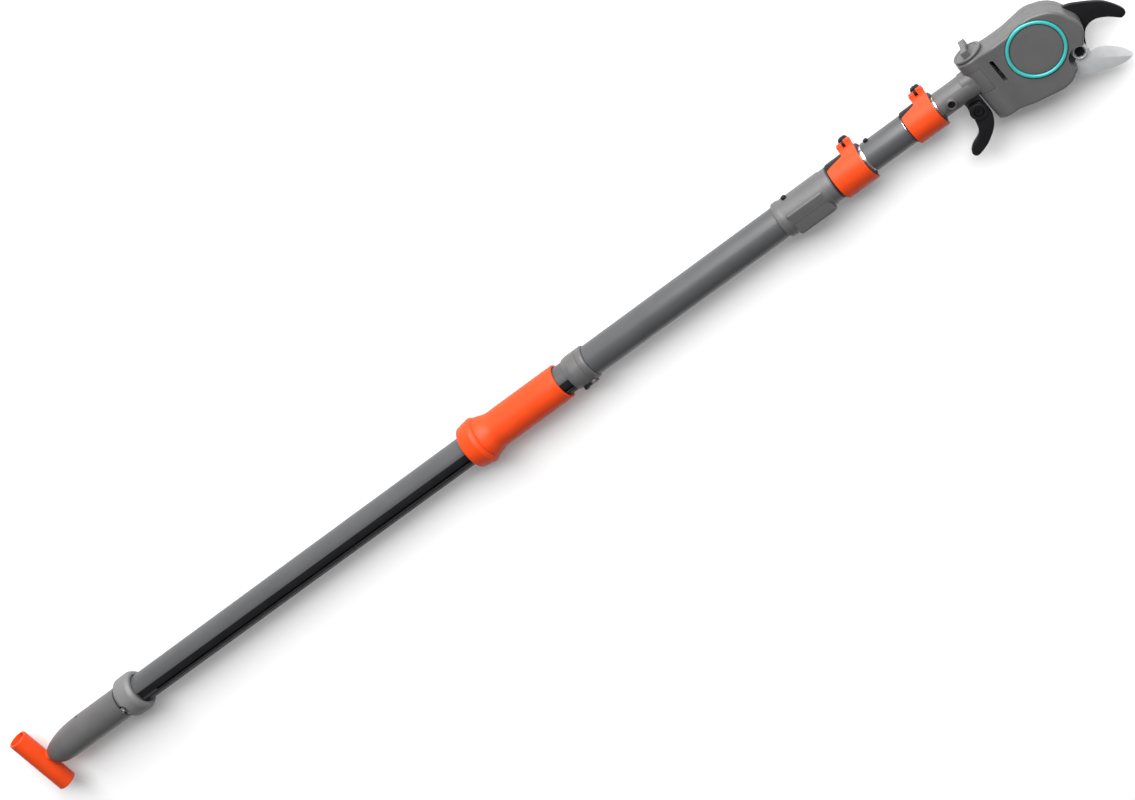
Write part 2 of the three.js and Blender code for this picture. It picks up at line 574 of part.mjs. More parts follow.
function headBody() {
  const shape = headOutline();
  const outside = plate(shape, -head.back, head.face, { bevel: 2.5 })
    .intersect(alongY(headProfile(), -80, 60));
  const cavity = plate(shape, -head.back + head.wall, head.face - head.wall, { grow: -head.wall })
    .intersect(block(head.cavityX, 800, -80, 60, -30, 30));
  const tongueRoom = rodY(neck.tongueLow - gap, neck.tongueHigh + gap, tilt.radius + 0.4, tilt.x, 0, 32)
    .add(block(600, tilt.x, neck.tongueLow - gap, neck.tongueHigh + gap, -beyond, beyond));
  const strapWay = block(tilt.x + 10, head.cavityX + 2, -8, 14, -9, 10);
  const bolt = rodY(-70, 40, tilt.bolt + 0.25, tilt.x);
  const nutRoom = rodY(-70, tilt.armLow + 6, 6.2, tilt.x, 0, 6);
  let posts = null;
  for (const [x, y] of screwPosts) {
    const post = rodZ(-head.back + 1, head.face - 1, 4.2, x, y);
    posts = posts ? posts.add(post) : post;
  }
  return outside.subtract(cavity).add(posts.intersect(outside))
    .subtract(tongueRoom).subtract(strapWay).subtract(bolt).subtract(nutRoom);
}

// Room for the jaw, and for the blade at every angle it turns through.
function bladeAndJawRoom() {
  const jawRoom = plate(jawOutline(), jawZ.low - gap, jawZ.high + gap, { grow: gap });
  const bladeRoom = rodZ(bladeZ.low - gap, bladeZ.high + gap, 21.2, pivot.x, pivot.y, round);
  const blade = plate(bladeOutline(), bladeZ.low - gap, bladeZ.high + gap, { grow: 1 })
    .translate([-pivot.x, -pivot.y, 0]);
  const bladeSweep = [0, 15, 30, 45, 60]
    .map((turn) => blade.rotate([0, 0, turn]).translate([pivot.x, pivot.y, 0]));
  let room = jawRoom.add(bladeRoom).add(rodZ(bladeZ.low - gap, 30, pivot.ring + 1, pivot.x, pivot.y));
  for (const swept of bladeSweep) room = room.add(swept);
  return room.add(pivotRoom());
}

// The hole for the pivot bolt with the six-sided pocket for its nut.
function pivotRoom() {
  return rodZ(-beyond, beyond, pivot.bolt + gap, pivot.x, pivot.y)
    .add(rodZ(-beyond, pivot.nutHigh + gap, pivot.nut + 0.7, pivot.x, pivot.y, 6));
}

function headShells() {
  const centre = gearCentre();
  let screwHoles = null;
  for (const [x, y] of screwPosts) {
    const hole = rodZ(-beyond, 12, 1.7, x, y).add(rodZ(-beyond, -head.back + 4, 3.6, x, y));
    screwHoles = screwHoles ? screwHoles.add(hole) : hole;
  }
  const open = headBody().subtract(bladeAndJawRoom()).subtract(screwHoles);
  const seat = rodZ(head.face - 0.8, beyond, disc.ringOuter + 0.4, disc.x, disc.y, 40);
  const pegs = rodZ(-head.back + 1.5, wheelZ.low - 2 * gap, 5, centre.x, centre.y)
    .add(rodZ(-head.back + 1.5, wheelZ.low - 4 * gap, 5, disc.x, disc.y));
  const holeLow = axle.low - 0.2;
  const axleHoles = rodZ(holeLow, 20.3, axle.radius + 0.25, disc.x, disc.y)
    .add(rodZ(holeLow, 5.6, axle.radius + 0.25, centre.x, centre.y));
  const half = (z0, z1) => block(600, 840, -100, 80, z0, z1);
  const wheelRoom = rodZ(wheelZ.low - 1, wheelZ.high + 1, 20.8, centre.x, centre.y, round);
  const pivotBoss = rodZ(-head.back + 1, jawZ.low - gap, 10.4, pivot.x, pivot.y, round)
    .subtract(pivotRoom()).subtract(wheelRoom);
  const ported = open.add(pegs).add(pivotBoss).subtract(axleHoles);
  add('head_front_shell', ported.intersect(half(head.split, 40)).subtract(seat), finishes.grey);
  add('head_back_shell', ported.intersect(half(-40, -head.split)), finishes.grey);
}

function housingScrews() {
  screwPosts.forEach(([x, y], i) => {
    const screw = rodZ(-head.back + 1.2, -head.back + 3.8, 3.2, x, y)
      .add(rodZ(-head.back + 2, 11, 1.45, x, y)).subtract(rodZ(-beyond, -head.back + 2.4, 1.6, x, y, 6));
    add(`housing_screw_${i + 1}`, screw, finishes.steel);
  });
}

function discOnFace() {
  const low = head.face - 0.5;
  const high = head.face + 0.4;
  add('disc_ring', rodZ(low, high + 0.5, disc.ringOuter, disc.x, disc.y, 40)
    .subtract(rodZ(0, beyond, disc.ringInner, disc.x, disc.y, 40)), finishes.teal);
  add('disc_cover', rodZ(low, high, disc.cover, disc.x, disc.y, 40), finishes.grey);
}

function jawAndPivot() {
  const boltRoom = rodZ(-beyond, beyond, pivot.bolt + 0.25, pivot.x, pivot.y);
  const jaw = plate(jawOutline(), jawZ.low, jawZ.high, { bevel: 0.5 });
  add('fixed_jaw', jaw.subtract(boltRoom), finishes.black);
  const bolt = rodZ(pivot.nutLow + 0.3, 7.2, pivot.bolt, pivot.x, pivot.y)
    .add(rodZ(6.4, 8.2, 5.6, pivot.x, pivot.y, 6));
  add('pivot_bolt', bolt, finishes.black);
  const nut = rodZ(pivot.nutLow, pivot.nutHigh, pivot.nut, pivot.x, pivot.y, 6)
    .subtract(rodZ(-beyond, 0, pivot.bolt + gap, pivot.x, pivot.y));
  add('pivot_nut', nut, finishes.steel);
}

function drive() {
  const centre = gearCentre();
  const toGear = Math.atan2(centre.y - disc.y, centre.x - disc.x);
  const toPivot = Math.atan2(pivot.y - centre.y, pivot.x - centre.x);
  const bore = axle.radius + 0.25;

  add('drum_axle', rodZ(axle.low, 20.1, axle.radius, disc.x, disc.y), finishes.steel);
  add('gear_axle', rodZ(axle.low, 5.4, axle.radius, centre.x, centre.y), finishes.steel);

  const floor = drum.low + 3.4;
  const spool = new THREE.LatheGeometry([
    [bore, drum.low], [drum.flange, drum.low], [drum.flange, drum.low + drum.plate],
    [drum.hub, drum.low + drum.plate], [drum.hub, drum.high - drum.plate],
    [drum.flange, drum.high - drum.plate], [drum.flange, drum.high], [drum.pocket, drum.high],
    [drum.pocket, floor], [bore, floor], [bore, drum.low],
  ].map(([r, z]) => new THREE.Vector2(r, z)), round);
  const clear = 0.2;
  add('strap_drum', solidOf(spool.rotateX(Math.PI / 2).translate(disc.x, disc.y, 0)), finishes.black);
  const coilLow = drum.low + drum.plate + clear;
  const coilHigh = drum.high - drum.plate - clear;
  const wound = rodZ(coilLow, coilHigh, drum.radius, disc.x, disc.y, round)
    .subtract(rodZ(-beyond, beyond, drum.hub + gap, disc.x, disc.y, round));
  add('strap_coil', wound, finishes.webbing);
  const pinion = plate(gearOutline(disc.x, disc.y, gears.pinion, toGear), wheelZ.low - 0.8, drum.low - gap);
  add('drum_pinion', pinion.subtract(rodZ(-beyond, beyond, bore, disc.x, disc.y)), finishes.brass);

  const wheelStep = 2 * Math.PI / gears.wheel;
  const wheel = plate(gearOutline(centre.x, centre.y, gears.wheel, toGear + Math.PI + wheelStep / 2),
    wheelZ.low, wheelZ.high);
  const smallStep = 2 * Math.PI / gears.pinion;
  const smallShape = gearOutline(centre.x, centre.y, gears.pinion, toPivot + smallStep / 2);
  const small = plate(smallShape, wheelZ.high - 1, bladeZ.high);
  const gearBore = rodZ(-beyond, beyond, bore, centre.x, centre.y);
  add('reduction_gear', wheel.add(small).subtract(gearBore), finishes.brass);

  const sectorStep = 2 * Math.PI / gears.sector;
  const teeth = 8;
  const firstTooth = toPivot + Math.PI - (teeth - 2) * sectorStep;
  const sectorShape = gearOutline(pivot.x, pivot.y, gears.sector, firstTooth, teeth, 5);
  const sector = plate(sectorShape, bladeZ.low, bladeZ.high);
  const boltRoom = rodZ(-beyond, beyond, pivot.bolt + 0.25, pivot.x, pivot.y);
  const hub = rodZ(bladeZ.low, bladeZ.high, 9, pivot.x, pivot.y);
  const cutter = plate(bladeOutline(), bladeZ.low, bladeZ.high, { bevel: 0.3 }).add(sector).add(hub);
  add('moving_blade', cutter.subtract(boltRoom), finishes.silver);
  const bush = rodZ(bladeZ.high + 0.1, 9.4, pivot.ring, pivot.x, pivot.y)
    .subtract(rodZ(bladeZ.high, 12, pivot.hollow, pivot.x, pivot.y));
  add('blade_bush', bush, finishes.silver);
}

function returnSpring() {
  // a flat spiral inside the drum's hub, which winds the strap back
  const turns = 3.25;
  const steps = 40;
  const leaf = 0.6;
  const innerRadius = 5;
  const outerRadius = drum.pocket - 1;
  const side = (offset) => Array.from({ length: steps + 1 }, (_, i) => {
    const t = i / steps;
    const r = innerRadius + (outerRadius - innerRadius) * t + offset;
    const a = 2 * Math.PI * turns * t;
    return [disc.x + r * Math.cos(a), disc.y + r * Math.sin(a)];
  });
  const spiral = outline([...side(leaf / 2), ...side(-leaf / 2).reverse()]);
  add('return_spring', plate(spiral, drum.low + 4, drum.high - 1), finishes.steel);
}

function tiltClamp() {
  const boltHead = rodY(tilt.armLow + 1.5, tilt.armLow + 5.5, 5.9, tilt.x, 0, 6);
  const shank = rodY(tilt.armLow + 2, knob.face - 3, tilt.bolt, tilt.x);
  add('tilt_bolt', boltHead.add(shank), finishes.steel);
  const ribHalf = 3.2;
  const ribReach = knob.radius - 1.5;
  const dial = rodY(tilt.armHigh + gap, knob.face, knob.radius, tilt.x, 0, 32);
  const rib = block(tilt.x - ribHalf, tilt.x + ribHalf, knob.face - 1, knob.rib, -ribReach, ribReach);
  const bore = rodY(0, knob.face - 2.5, tilt.bolt + 0.25, tilt.x);
  add('tilt_knob', dial.add(rib).subtract(bore), finishes.grey);
}

function strapUpper() {
  // it passes over the tilt bolt
  const level = tilt.bolt + 0.8 + strap.thickness / 2;
  add('strap_upper', strapLength(strap.upperStart, strap.upperEnd, 0, level), finishes.webbing);
}

tHandle();
endCap();
endCollar();
lowerTube();
slidingGrip();
tubeJoint();
mainTube();
clamps.forEach(leverClamp);
innerTubes();
tiltNeck();
branchHook();
headShells();
housingScrews();
discOnFace();
jawAndPivot();
drive();
returnSpring();
tiltClamp();
strapUpper();

const tool = new THREE.Group();
tool.add(pieces);
export default tool;
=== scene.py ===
import json
import bmesh
import bpy
import numpy as np
from mathutils import Matrix, Vector


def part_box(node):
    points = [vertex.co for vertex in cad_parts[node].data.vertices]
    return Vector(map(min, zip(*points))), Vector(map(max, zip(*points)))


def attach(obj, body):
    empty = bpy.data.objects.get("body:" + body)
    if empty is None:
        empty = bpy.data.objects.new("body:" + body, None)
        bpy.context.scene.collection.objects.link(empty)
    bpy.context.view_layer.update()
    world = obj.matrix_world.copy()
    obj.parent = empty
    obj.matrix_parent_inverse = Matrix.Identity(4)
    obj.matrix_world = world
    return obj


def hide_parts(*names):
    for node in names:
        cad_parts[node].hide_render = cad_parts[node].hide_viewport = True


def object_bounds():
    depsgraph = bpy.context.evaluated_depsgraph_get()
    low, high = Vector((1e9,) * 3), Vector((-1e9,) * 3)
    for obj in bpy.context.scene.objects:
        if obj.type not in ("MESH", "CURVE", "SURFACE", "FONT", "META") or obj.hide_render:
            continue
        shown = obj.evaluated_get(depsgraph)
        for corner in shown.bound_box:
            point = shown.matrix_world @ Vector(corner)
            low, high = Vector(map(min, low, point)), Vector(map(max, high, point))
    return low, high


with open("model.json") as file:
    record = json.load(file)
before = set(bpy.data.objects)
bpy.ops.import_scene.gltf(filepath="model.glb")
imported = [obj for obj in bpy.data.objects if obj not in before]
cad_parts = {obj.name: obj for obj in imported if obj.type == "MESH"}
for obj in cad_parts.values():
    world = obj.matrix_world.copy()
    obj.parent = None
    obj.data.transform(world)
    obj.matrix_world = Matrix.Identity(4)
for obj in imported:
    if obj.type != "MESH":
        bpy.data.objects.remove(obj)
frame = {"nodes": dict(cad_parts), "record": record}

mm = 0.001
nodes = frame["nodes"]
record = frame["record"]
slotOf = {part["node"]: part["material_slot"] for part in record["subparts"]}
bodyOf = {node: body for body, members in record["behaviour"]["bodies"].items() for node in members}
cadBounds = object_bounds()

# shapes are worked out in millimetres from the pole's own axis, with x as in the frame
tubeLow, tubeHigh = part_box("main_tube")
poleAxis = np.array([0, (tubeLow.y + tubeHigh.y) / 2, (tubeLow.z + tubeHigh.z) / 2])


def extent(node):  # lowest and highest corner of a node, in millimetres from the pole's axis
    low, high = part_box(node)
    return (np.array(low) - poleAxis) / mm, (np.array(high) - poleAxis) / mm


def middleOf(node):
    low, high = extent(node)
    return (low + high) / 2


def newMaterial(name, look):
    material = bpy.data.materials.new(name)
    material.use_nodes = True
    tree = material.node_tree
    shader = tree.nodes["Principled BSDF"]
    shader.inputs["Base Color"].default_value = (*look["colour"], 1)
    shader.inputs["Metallic"].default_value = look.get("metal", 0)
    shader.inputs["Roughness"].default_value = look["rough"]
    shader.inputs["Specular IOR Level"].default_value = look.get("specular", 0.5)
    return material, tree, shader


def noiseOn(tree, scale, stretch=(1, 1, 1), detail=3):
    place = tree.nodes.new("ShaderNodeTexCoord")
    mapping = tree.nodes.new("ShaderNodeMapping")
    mapping.inputs["Scale"].default_value = stretch
    noise = tree.nodes.new("ShaderNodeTexNoise")
    noise.inputs["Scale"].default_value = scale
    noise.inputs["Detail"].default_value = detail
    tree.links.new(place.outputs["Object"], mapping.inputs["Vector"])
    tree.links.new(mapping.outputs["Vector"], noise.inputs["Vector"])
    return noise.outputs["Fac"]


def spread(tree, source, low, high):  # takes a noise around one half to the range low to high
    remap = tree.nodes.new("ShaderNodeMapRange")
    remap.inputs["From Min"].default_value = 0.3
    remap.inputs["From Max"].default_value = 0.7
    remap.inputs["To Min"].default_value = low
    remap.inputs["To Max"].default_value = high
    tree.links.new(source, remap.inputs["Value"])
    return remap.outputs["Result"]


def tint(tree, shader, colour, source, depth):  # colour a little darker and lighter along a noise
    mix = tree.nodes.new("ShaderNodeMix")
    mix.data_type = "RGBA"
    mix.inputs["A"].default_value = (*[c * (1 - depth) for c in colour], 1)
    mix.inputs["B"].default_value = (*[min(1, c * (1 + depth)) for c in colour], 1)
    tree.links.new(source, mix.inputs["Factor"])
    tree.links.new(mix.outputs["Result"], shader.inputs["Base Color"])


def relief(tree, shader, source, strength, distance):
    bump = tree.nodes.new("ShaderNodeBump")
    bump.inputs["Strength"].default_value = strength
    bump.inputs["Distance"].default_value = distance
    tree.links.new(source, bump.inputs["Height"])
    tree.links.new(bump.outputs["Normal"], shader.inputs["Normal"])


def mouldedPlastic(name, look):  # fine eroded grain, cloudy gloss and a slight drift of colour
    scale = {"cloud": 45, "patches": 160, "grain": 2600}
    material, tree, shader = newMaterial(name, look)
    cloud = noiseOn(tree, scale["cloud"])
    tint(tree, shader, look["colour"], spread(tree, cloud, 0, 1), look.get("drift", 0.06))
    patches = noiseOn(tree, scale["patches"])
    gloss = spread(tree, patches, look["rough"] - 0.05, look["rough"] + 0.06)
    tree.links.new(gloss, shader.inputs["Roughness"])
    relief(tree, shader, noiseOn(tree, scale["grain"], detail=2), look.get("depth", 0.3), 0.00012)
    return material


def drawnMetal(name, look):  # streaks along the way the metal was drawn or ground
    material, tree, shader = newMaterial(name, look)
    streaks = noiseOn(tree, look["streaks"], look["stretch"], 5)
    cloud = noiseOn(tree, 30)
    tint(tree, shader, look["colour"], spread(tree, cloud, 0, 1), 0.05)
    gloss = spread(tree, streaks, look["rough"] - 0.07, look["rough"] + 0.09)
    tree.links.new(gloss, shader.inputs["Roughness"])
    relief(tree, shader, streaks, 0.12, 0.00008)
    return material


def wovenStrap(name, look):  # two crossing rows of threads
    material, tree, shader = newMaterial(name, look)
    place = tree.nodes.new("ShaderNodeTexCoord")
    product = tree.nodes.new("ShaderNodeMath")
    product.operation = "MULTIPLY"
    for index, (direction, threads) in enumerate((("X", 260), ("Y", 340))):
        wave = tree.nodes.new("ShaderNodeTexWave")
        wave.bands_direction = direction
        wave.inputs["Scale"].default_value = threads
        wave.inputs["Distortion"].default_value = 0.6
        tree.links.new(place.outputs["Object"], wave.inputs["Vector"])
        tree.links.new(wave.outputs["Fac"], product.inputs[index])
    tint(tree, shader, look["colour"], product.outputs["Value"], 0.45)
    relief(tree, shader, product.outputs["Value"], 0.7, 0.0004)
    return material


looks = {
    "orange_plastic": (mouldedPlastic, {"colour": (0.55, 0.044, 0.005), "rough": 0.45, "specular": 0.2,
                                        "drift": 0.04, "depth": 0.2}),
    "grey_plastic": (mouldedPlastic, {"colour": (0.074, 0.072, 0.072), "rough": 0.42, "specular": 0.45}),
    "light_grey_plastic": (mouldedPlastic, {"colour": (0.12, 0.12, 0.12), "rough": 0.48, "specular": 0.35}),
    "black_plastic": (mouldedPlastic, {"colour": (0.007, 0.007, 0.008), "rough": 0.46, "specular": 0.14,
                                       "drift": 0.2}),
    "black_steel": (mouldedPlastic, {"colour": (0.007, 0.007, 0.008), "rough": 0.46, "specular": 0.14,
                                     "drift": 0.2, "depth": 0.12}),
    "teal_plastic": (mouldedPlastic, {"colour": (0.03, 0.30, 0.29), "rough": 0.3, "depth": 0.05}),
    "tube_coat": (drawnMetal, {"colour": (0.062, 0.063, 0.066), "rough": 0.4, "metal": 0.2, "specular": 0.4,
                               "streaks": 900, "stretch": (0.02, 1, 1)}),
    "bare_aluminium": (drawnMetal, {"colour": (0.72, 0.73, 0.74), "rough": 0.26, "metal": 1,
                                    "streaks": 900, "stretch": (0.02, 1, 1)}),
    "bright_steel": (drawnMetal, {"colour": (0.5, 0.5, 0.51), "rough": 0.32, "metal": 1,
                                  "streaks": 700, "stretch": (1, 1, 0.2)}),
    "blade_steel": (drawnMetal, {"colour": (0.6, 0.61, 0.62), "rough": 0.38, "metal": 0.6,
                                 "streaks": 1100, "stretch": (1, 0.05, 1)}),
    "gear_brass": (drawnMetal, {"colour": (0.5, 0.34, 0.13), "rough": 0.35, "metal": 1,
                                "streaks": 800, "stretch": (1, 1, 0.1)}),
    "webbing": (wovenStrap, {"colour": (0.03, 0.03, 0.033), "rough": 0.85, "specular": 0.2}),
}
materials = {name: maker(name, look) for name, (maker, look) in looks.items()}
print("materials", len(materials))


def meshFrom(name, points, faceSets):
    corners = np.concatenate([faces.ravel() for faces in faceSets]).astype(np.int32)
    sizes = np.concatenate([np.full(len(faces), faces.shape[1]) for faces in faceSets])
    starts = np.concatenate([[0], np.cumsum(sizes)[:-1]]).astype(np.int32)
    mesh = bpy.data.meshes.new(name)
    mesh.vertices.add(len(points))
    mesh.vertices.foreach_set("co", (np.asarray(points) * mm + poleAxis).astype(np.float32).ravel())
    mesh.loops.add(len(corners))
    mesh.loops.foreach_set("vertex_index", corners)
    mesh.polygons.add(len(starts))
    mesh.polygons.foreach_set("loop_start", starts)
    mesh.update(calc_edges=True)
    build = bmesh.new()
    build.from_mesh(mesh)
    bmesh.ops.remove_doubles(build, verts=build.verts, dist=2e-6)
    bmesh.ops.recalc_face_normals(build, faces=build.faces)
    build.to_mesh(mesh)
    build.free()
    piece = bpy.data.objects.new(name, mesh)
    bpy.context.scene.collection.objects.link(piece)
    return piece


def gridFaces(rows, columns, closeRows=False, closeColumns=True):
    index = np.arange(rows * columns).reshape(rows, columns)
    if closeRows:
        index = np.vstack([index, index[:1]])
    if closeColumns:
        index = np.hstack([index, index[:, :1]])
    return np.stack([index[:-1, :-1], index[1:, :-1], index[1:, 1:], index[:-1, 1:]], -1).reshape(-1, 4)


def filleted(corners, steps=6):
    # each corner (a, b, radius) of a closed outline becomes an arc that touches both its sides
    places = np.array([corner[:2] for corner in corners], float)
    outline = []
    for i, corner in enumerate(corners):
        here = places[i]
        back, on = places[i - 1] - here, places[(i + 1) % len(places)] - here
        backLength, onLength = np.linalg.norm(back), np.linalg.norm(on)
        back, on = back / backLength, on / onLength
        half = np.arccos(np.clip(back @ on, -1, 1)) / 2
        if len(corner) < 3 or half > 1.56:
            outline.append(here)
            continue
        reach = min(corner[2] / np.tan(half), 0.49 * min(backLength, onLength))
        radius = reach * np.tan(half)
        centre = here + (back + on) / np.linalg.norm(back + on) * radius / np.sin(half)
        start, end = here + back * reach - centre, here + on * reach - centre
        sweep = np.pi - 2 * half
        along = np.linspace(0, 1, steps + 1)[:, None]
        swing = np.sin((1 - along) * sweep) * start + np.sin(along * sweep) * end
        outline.extend(centre + swing / np.sin(sweep))
    return np.array(outline)


def rectangle(left, right, low, high, bend):
    return filleted([(left, low, bend), (right, low, bend), (right, high, bend), (left, high, bend)])


def closedSpline(points, steps=10):
    # a smooth closed curve through the points: each span is a cubic whose ends follow their neighbours
    p = np.asarray(points, float)
    before, after, later = np.roll(p, 1, 0), np.roll(p, -1, 0), np.roll(p, -2, 0)
    t = np.linspace(0, 1, steps, endpoint=False)[None, :, None]
    p, before, after, later = (q[:, None, :] for q in (p, before, after, later))
    curve = 0.5 * (2 * p + (after - before) * t + (2 * before - 5 * p + 4 * after - later) * t ** 2
                   + (3 * p - before - 3 * after + later) * t ** 3)
    return curve.reshape(-1, 2)


def arc(radius, start, end, steps=24):  # degrees round the pole from straight up, growing towards -y
    angle = np.radians(np.linspace(start, end, steps + 1))
    return np.stack([-radius * np.sin(angle), radius * np.cos(angle)], 1)


def gapTo(points, chain):  # distance from each point to the nearest side of an open chain
    start, step = chain[:-1], np.diff(chain, axis=0)
    length = np.maximum(np.sum(step ** 2, axis=1), 1e-12)
    t = np.clip(((points[:, None] - start) * step).sum(2) / length, 0, 1)
    return np.sqrt((((points[:, None] - start) - t[:, :, None] * step) ** 2).sum(2)).min(1)


def inset(outline, depth):  # moves a closed outline inwards along the mean of its side normals
    ahead = np.roll(outline, -1, 0) - outline
    ahead = ahead / np.maximum(np.linalg.norm(ahead, axis=1, keepdims=True), 1e-9)
    normal = np.stack([-ahead[:, 1], ahead[:, 0]], 1)
    x, y = outline.T
    area = np.sum(x * np.roll(y, -1) - np.roll(x, -1) * y)
    both = normal + np.roll(normal, 1, 0)
    scale = 2 / np.maximum(np.sum(both ** 2, axis=1, keepdims=True), 0.8)
    moved = outline + np.sign(area) * depth * both * scale
    if depth > 0:  # in a bend tighter than the depth the points close up into one
        good = np.flatnonzero(gapTo(moved, np.vstack([outline, outline[:1]])) > depth * 0.96 - 1e-6)
        bad = np.setdiff1d(np.arange(len(outline)), good)
        if len(good) and len(bad):
            spot = np.searchsorted(good, bad)
            moved[bad] = (moved[good[spot - 1]] + moved[good[spot % len(good)]]) / 2
    return moved


def slab(name, outline, low, high, edge=0.5, plane="z", steps=5):
    # an outline pulled along an axis, its rims drawn in by a quarter circle of radius edge
    turn = np.linspace(0, np.pi / 2, steps + 1)
    depths = np.concatenate([edge * (1 - np.sin(turn)), edge * (1 - np.sin(turn))[::-1]])
    levels = np.concatenate([low + edge * (1 - np.cos(turn)), high - edge * (1 - np.cos(turn))[::-1]])
    if edge == 0:
        depths, levels = np.zeros(2), np.array([low, high], float)
    rings = np.stack([np.column_stack([inset(outline, d), np.full(len(outline), z)])
                      for d, z in zip(depths, levels)])
    spots = rings.reshape(-1, 3)
    points = np.zeros_like(spots)
    order = {"x": (1, 2, 0), "y": (0, 2, 1), "z": (0, 1, 2)}[plane]
    for source, target in enumerate(order):
        points[:, target] = spots[:, source]
    count = len(outline)
    caps = np.array([np.arange(count), (len(levels) - 1) * count + np.arange(count)])
    return meshFrom(name, points, [gridFaces(len(levels), count), caps])


def turned(name, profile, centre=(0, 0, 0), axis="x", count=128):
    # a profile of (along, radius) carried round an axis; one that starts on the axis makes a solid piece
    profile = np.asarray(profile, float)
    hollow = profile[0, 1] > 0
    if not hollow:
        profile = profile[1:-1]
    angle = np.linspace(0, 2 * np.pi, count, endpoint=False)
    along = np.repeat(profile[:, :1], count, 1)
    side, up = profile[:, 1:] * np.cos(angle), profile[:, 1:] * np.sin(angle)
    columns = {"x": (along, side, up), "y": (side, along, up), "z": (side, up, along)}[axis]
    points = np.stack(columns, -1).reshape(-1, 3) + np.asarray(centre, float)
    faces = [gridFaces(len(profile), count, closeRows=hollow)]
    if not hollow:
        faces.append(np.array([np.arange(count), (len(profile) - 1) * count + np.arange(count)]))
    return meshFrom(name, points, faces)


def rod(name, low, high, radius, centre, axis, edge=0.3, count=64):
    profile = filleted([(low, 0), (low, radius, edge), (high, radius, edge), (high, 0)])
    return turned(name, profile, centre, axis, count)


def post(name, low, high, radius, x, y, edge=0.3, count=64):
    return rod(name, low, high, radius, (x, y, 0), "z", edge, count)


def box(name, low, high):
    corners = [(low[0], low[1]), (high[0], low[1]), (high[0], high[1]), (low[0], high[1])]
    return slab(name, np.array(corners, float), low[2], high[2], 0)


def hexagon(x, y, across):
    angle = np.radians(np.arange(0, 360, 60) + 30)
    return np.stack([x + across / np.sqrt(3) * np.cos(angle), y + across / np.sqrt(3) * np.sin(angle)], 1)


def combine(piece, other, how):
    step = piece.modifiers.new(how, "BOOLEAN")
    step.operation = how
    step.solver = "EXACT"
    step.object = other
    graph = bpy.context.evaluated_depsgraph_get()
    shaped = bpy.data.meshes.new_from_object(piece.evaluated_get(graph))
    piece.modifiers.clear()
    piece.data = shaped
    bpy.data.objects.remove(other)
    return piece


def cut(piece, *cutters):
    for cutter in cutters:
        combine(piece, cutter, "DIFFERENCE")
    return piece


def join(piece, *others):
    for other in others:
        combine(piece, other, "UNION")
    return piece


def finished(piece, *standsFor, sharp=32):
    # smooth shading with real edges kept, the finish and the body of the node it stands for
    build = bmesh.new()
    build.from_mesh(piece.data)
    bmesh.ops.dissolve_degenerate(build, dist=1e-6, edges=build.edges)
    build.to_mesh(piece.data)
    build.free()
    piece.data.shade_smooth()
    piece.data.set_sharp_from_angle(angle=np.radians(sharp))
    slotName = slotOf[standsFor[0]]
    piece.data.materials.clear()
    piece.data.materials.append(materials[slotName])
    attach(piece, bodyOf[standsFor[0]])
    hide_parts(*standsFor)
    return piece


def makeTHandle():
    handle = {"lip": 1.7, "wall": 3, "recess": 18, "bossRadius": 7.5, "pinHole": 1.75}
    low, high = extent("t_handle_grip")
    half = (high[1] - low[1]) / 2
    radius = (high[2] - low[2]) / 2
    x = low[0] + radius
    bore = radius - handle["wall"]
    inner = half - handle["recess"]
    profile = filleted([(-inner, 0), (-inner, bore, 1), (-half, bore, 0.7), (-half, radius, handle["lip"]),
                        (half, radius, handle["lip"]), (half, bore, 0.7), (inner, bore, 1), (inner, 0)])
    grip = turned("t_handle", profile, (x, 0, 0), "y")
    boss = rod("boss", x, high[0], handle["bossRadius"], (0, 0, 0), "x", 0.8)
    tailLow, tailHigh = extent("strap_tail")
    slit = box("slit", tailLow - [1, 0.3, 0.3], [high[0] + 1, tailHigh[1] + 0.3, tailHigh[2] + 0.3])
    pin = middleOf("t_handle_pin")
    hole = post("hole", -20, 20, handle["pinHole"], pin[0], pin[1])
    finished(cut(join(grip, boss), slit, hole), "t_handle_grip")

    ribbon = rectangle(tailLow[1], tailHigh[1], tailLow[2], tailHigh[2], 0.6)
    tail = slab("pull_strap", ribbon, tailLow[0], tailHigh[0], 0.3, "x")
    finished(tail, "strap_tail")


